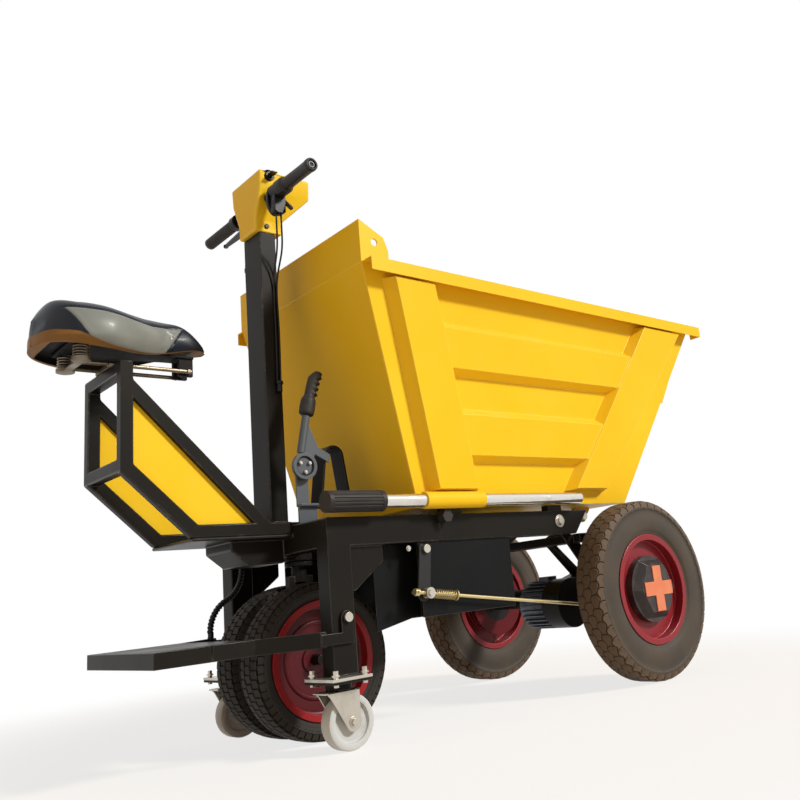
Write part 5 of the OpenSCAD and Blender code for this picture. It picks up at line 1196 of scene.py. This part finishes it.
def dress_solids():
    """Solids that keep their shape, by finish, each with the width that its edges are rounded to."""
    rows = (
        (BLACK, BLACK_EDGE_WEAR_AND_HIGHLIGHT, "black_paint", 2, {
            "rear_frame": 3.5, "front_beams": 3.0, "guard_hoop": 0.6, "seat_frame": 3.5, "steer_column": 3.0,
            "steer_leg": 1.5, "handlebar": 0.8, "foot_tray": 1.6, "foot_arms": 1.4, "brake_cam": 1.0}),
        (YELLOW, YELLOW_EDGE_WEAR_AND_HIGHLIGHT, "yellow_paint", 3, {
            "hopper_tray": 0.9, "hopper_sides": 1.2, "hopper_rim": 1.0, "bar_sleeve": 0.8,
            "seat_panels": 0.6}),
        (YELLOW, YELLOW_EDGE_WEAR_AND_HIGHLIGHT, "yellow_paint", 4, {"head_housing": 6.0}),
        (ZINC, ZINC, "zinc_steel", 2, {"hinge_pin": 0.8, "frame_bolts": 0.8}),
        (RAIL, RAIL, "zinc_steel", 2, {"saddle_rails": 0.6}),
        (BOX, BLACK_EDGE_WEAR_AND_HIGHLIGHT, "black_paint", 2, {"battery_box": 1.0}),
        (AXLE_PAINT, AXLE_PAINT, "black_paint", 2, {"axle_housing": 2.0}),
        (GOLD_ZINC, GOLD_ZINC, "zinc_steel", 2, {"brake_rod": 0.4}),
        (ARM, BLACK_EDGE_WEAR_AND_HIGHLIGHT, "black_paint", 2, {"brake_arm": 1.2}),
        # The caster mounts are black: painted shade for the dark gap under the bright foot plate.
        (BLACK, BLACK_EDGE_WEAR_AND_HIGHLIGHT, "black_paint", 2, {"caster_mounts": 0.8}),
        (CHROME, CHROME, "chrome", 2, {"tipping_bar": 0.8}),
        (BRAKE_GREY, BRAKE_EDGE_WEAR_AND_HIGHLIGHT, "brake_grey", 2, {"handbrake_base": 0.8, "brake_lever": 0.8}),
        (MOTOR, MOTOR, "motor_metal", 2, {"drive_motor": 0.8}),
        (SHELL, SHELL, "black_plastic", 2, {"saddle_shell": 1.0}),
        (PLASTIC, PLASTIC, "black_plastic", 2, {
            "control_clamps": 1.0, "hand_lever": 1.0, "key": 1.0, "key_lock": 1.0, "head_screws": 1.0,
            "battery_pack": 1.0}),
        (GRIP, GRIP, "soft_rubber", 2, {"rest_pads": 0.6, "thumb_lever": 0.6, "bar_grip": 0.6}),
    )
    for finish, edge, slot, segments, widths in rows:
        for node, width in widths.items():
            softened(node, width, finish, edge, slot, segments)
    for name, _ in SIDES:
        softened("drive_rim_" + name, 1.4, RED, RED_EDGE_WEAR_AND_HIGHLIGHT, "red_rim", 2)
        softened("twin_rim_" + name, 1.4, STEERED_RED_SHADED_DISH, STEERED_RED_SHADED_DISH, "red_rim", 2)
        softened("hub_cap_" + name, 0.4, CAP, CAP, "black_plastic", 1, False)


def seen_by(works, *rays):
    """One for a ray of any of these kinds."""
    path = works.node("ShaderNodeLightPath")
    seen = path[rays[0]]
    for ray in rays[1:]:
        seen = works.math("MAXIMUM", seen, path[ray])
    return seen


def add_light():
    """A warm fill from a backdrop that looks white, a key sun, and a weak warm one from behind."""
    world = bpy.data.worlds.new("studio")
    world.use_nodes = True
    air = Works(world.node_tree)
    air.tree.nodes.clear()
    seen = seen_by(air, "Is Camera Ray", "Is Glossy Ray", "Is Transmission Ray")
    fill = air.node("ShaderNodeBackground", {"Color": (1.0, 0.82, 0.62, 1), "Strength": 0.26})
    white = air.node("ShaderNodeBackground", {"Color": (1, 1, 1, 1), "Strength": 1.0})
    shown = air.node("ShaderNodeMixShader", {0: seen, 1: fill, 2: white})
    air.node("ShaderNodeOutputWorld", {"Surface": shown})
    scene.world = world
    suns = (("key", 3.0, 10, (-0.42, 0.74, -0.56), (1.0, 0.97, 0.92)),
            ("warm", 0.32, 60, (1.0, 0.2, -0.3), (1.0, 0.6, 0.3)))
    for name, power, angle, way, tone in suns:
        lamp = bpy.data.lights.new(name, "SUN")
        lamp.energy = power
        lamp.angle = math.radians(angle)
        lamp.color = tone
        sun = bpy.data.objects.new(name, lamp)
        sun.rotation_mode = "QUATERNION"
        sun.rotation_quaternion = Vector(way).to_track_quat("-Z", "Y")
        scene.collection.objects.link(sun)


def add_floor():
    """A floor that looks white away from the buggy and pale under it."""
    skin = bmesh.new()
    reach = 14.0
    corners = [(-reach, -reach, 0), (reach, -reach, 0), (reach, reach, 0), (-reach, reach, 0)]
    skin.faces.new([skin.verts.new(corner) for corner in corners])
    pale = Finish("pale_floor")
    matt = pale.node("ShaderNodeBsdfDiffuse", {"Color": (0.88, 0.8, 0.68, 1)})
    glow = pale.node("ShaderNodeEmission", {"Color": (1, 1, 1, 1), "Strength": 1.0})
    away = pale.math("SQRT", pale.x * pale.x + pale.y * pale.y)
    white = 0.76 + 0.24 * pale.slope(away, 0.9, 2.4)
    seen = seen_by(pale, "Is Camera Ray", "Is Glossy Ray")
    shown = pale.node("ShaderNodeMixShader", {0: seen * white, 1: matt, 2: glow})
    pale.node("ShaderNodeOutputMaterial", {"Surface": shown})
    made("floor", skin, [pale.material])


set_camera()
TREAD = tread_pattern()
SPRING = spring_pattern()
STITCH = stitch_pattern()
BOLT = bolt_pattern()
add_loom()
add_control_cables()
dress_solids()
add_tyres()
add_springs()
add_saddle()
add_grips()
add_pod()
add_lever_grip()
add_casters()
add_fittings()
add_light()
add_floor()
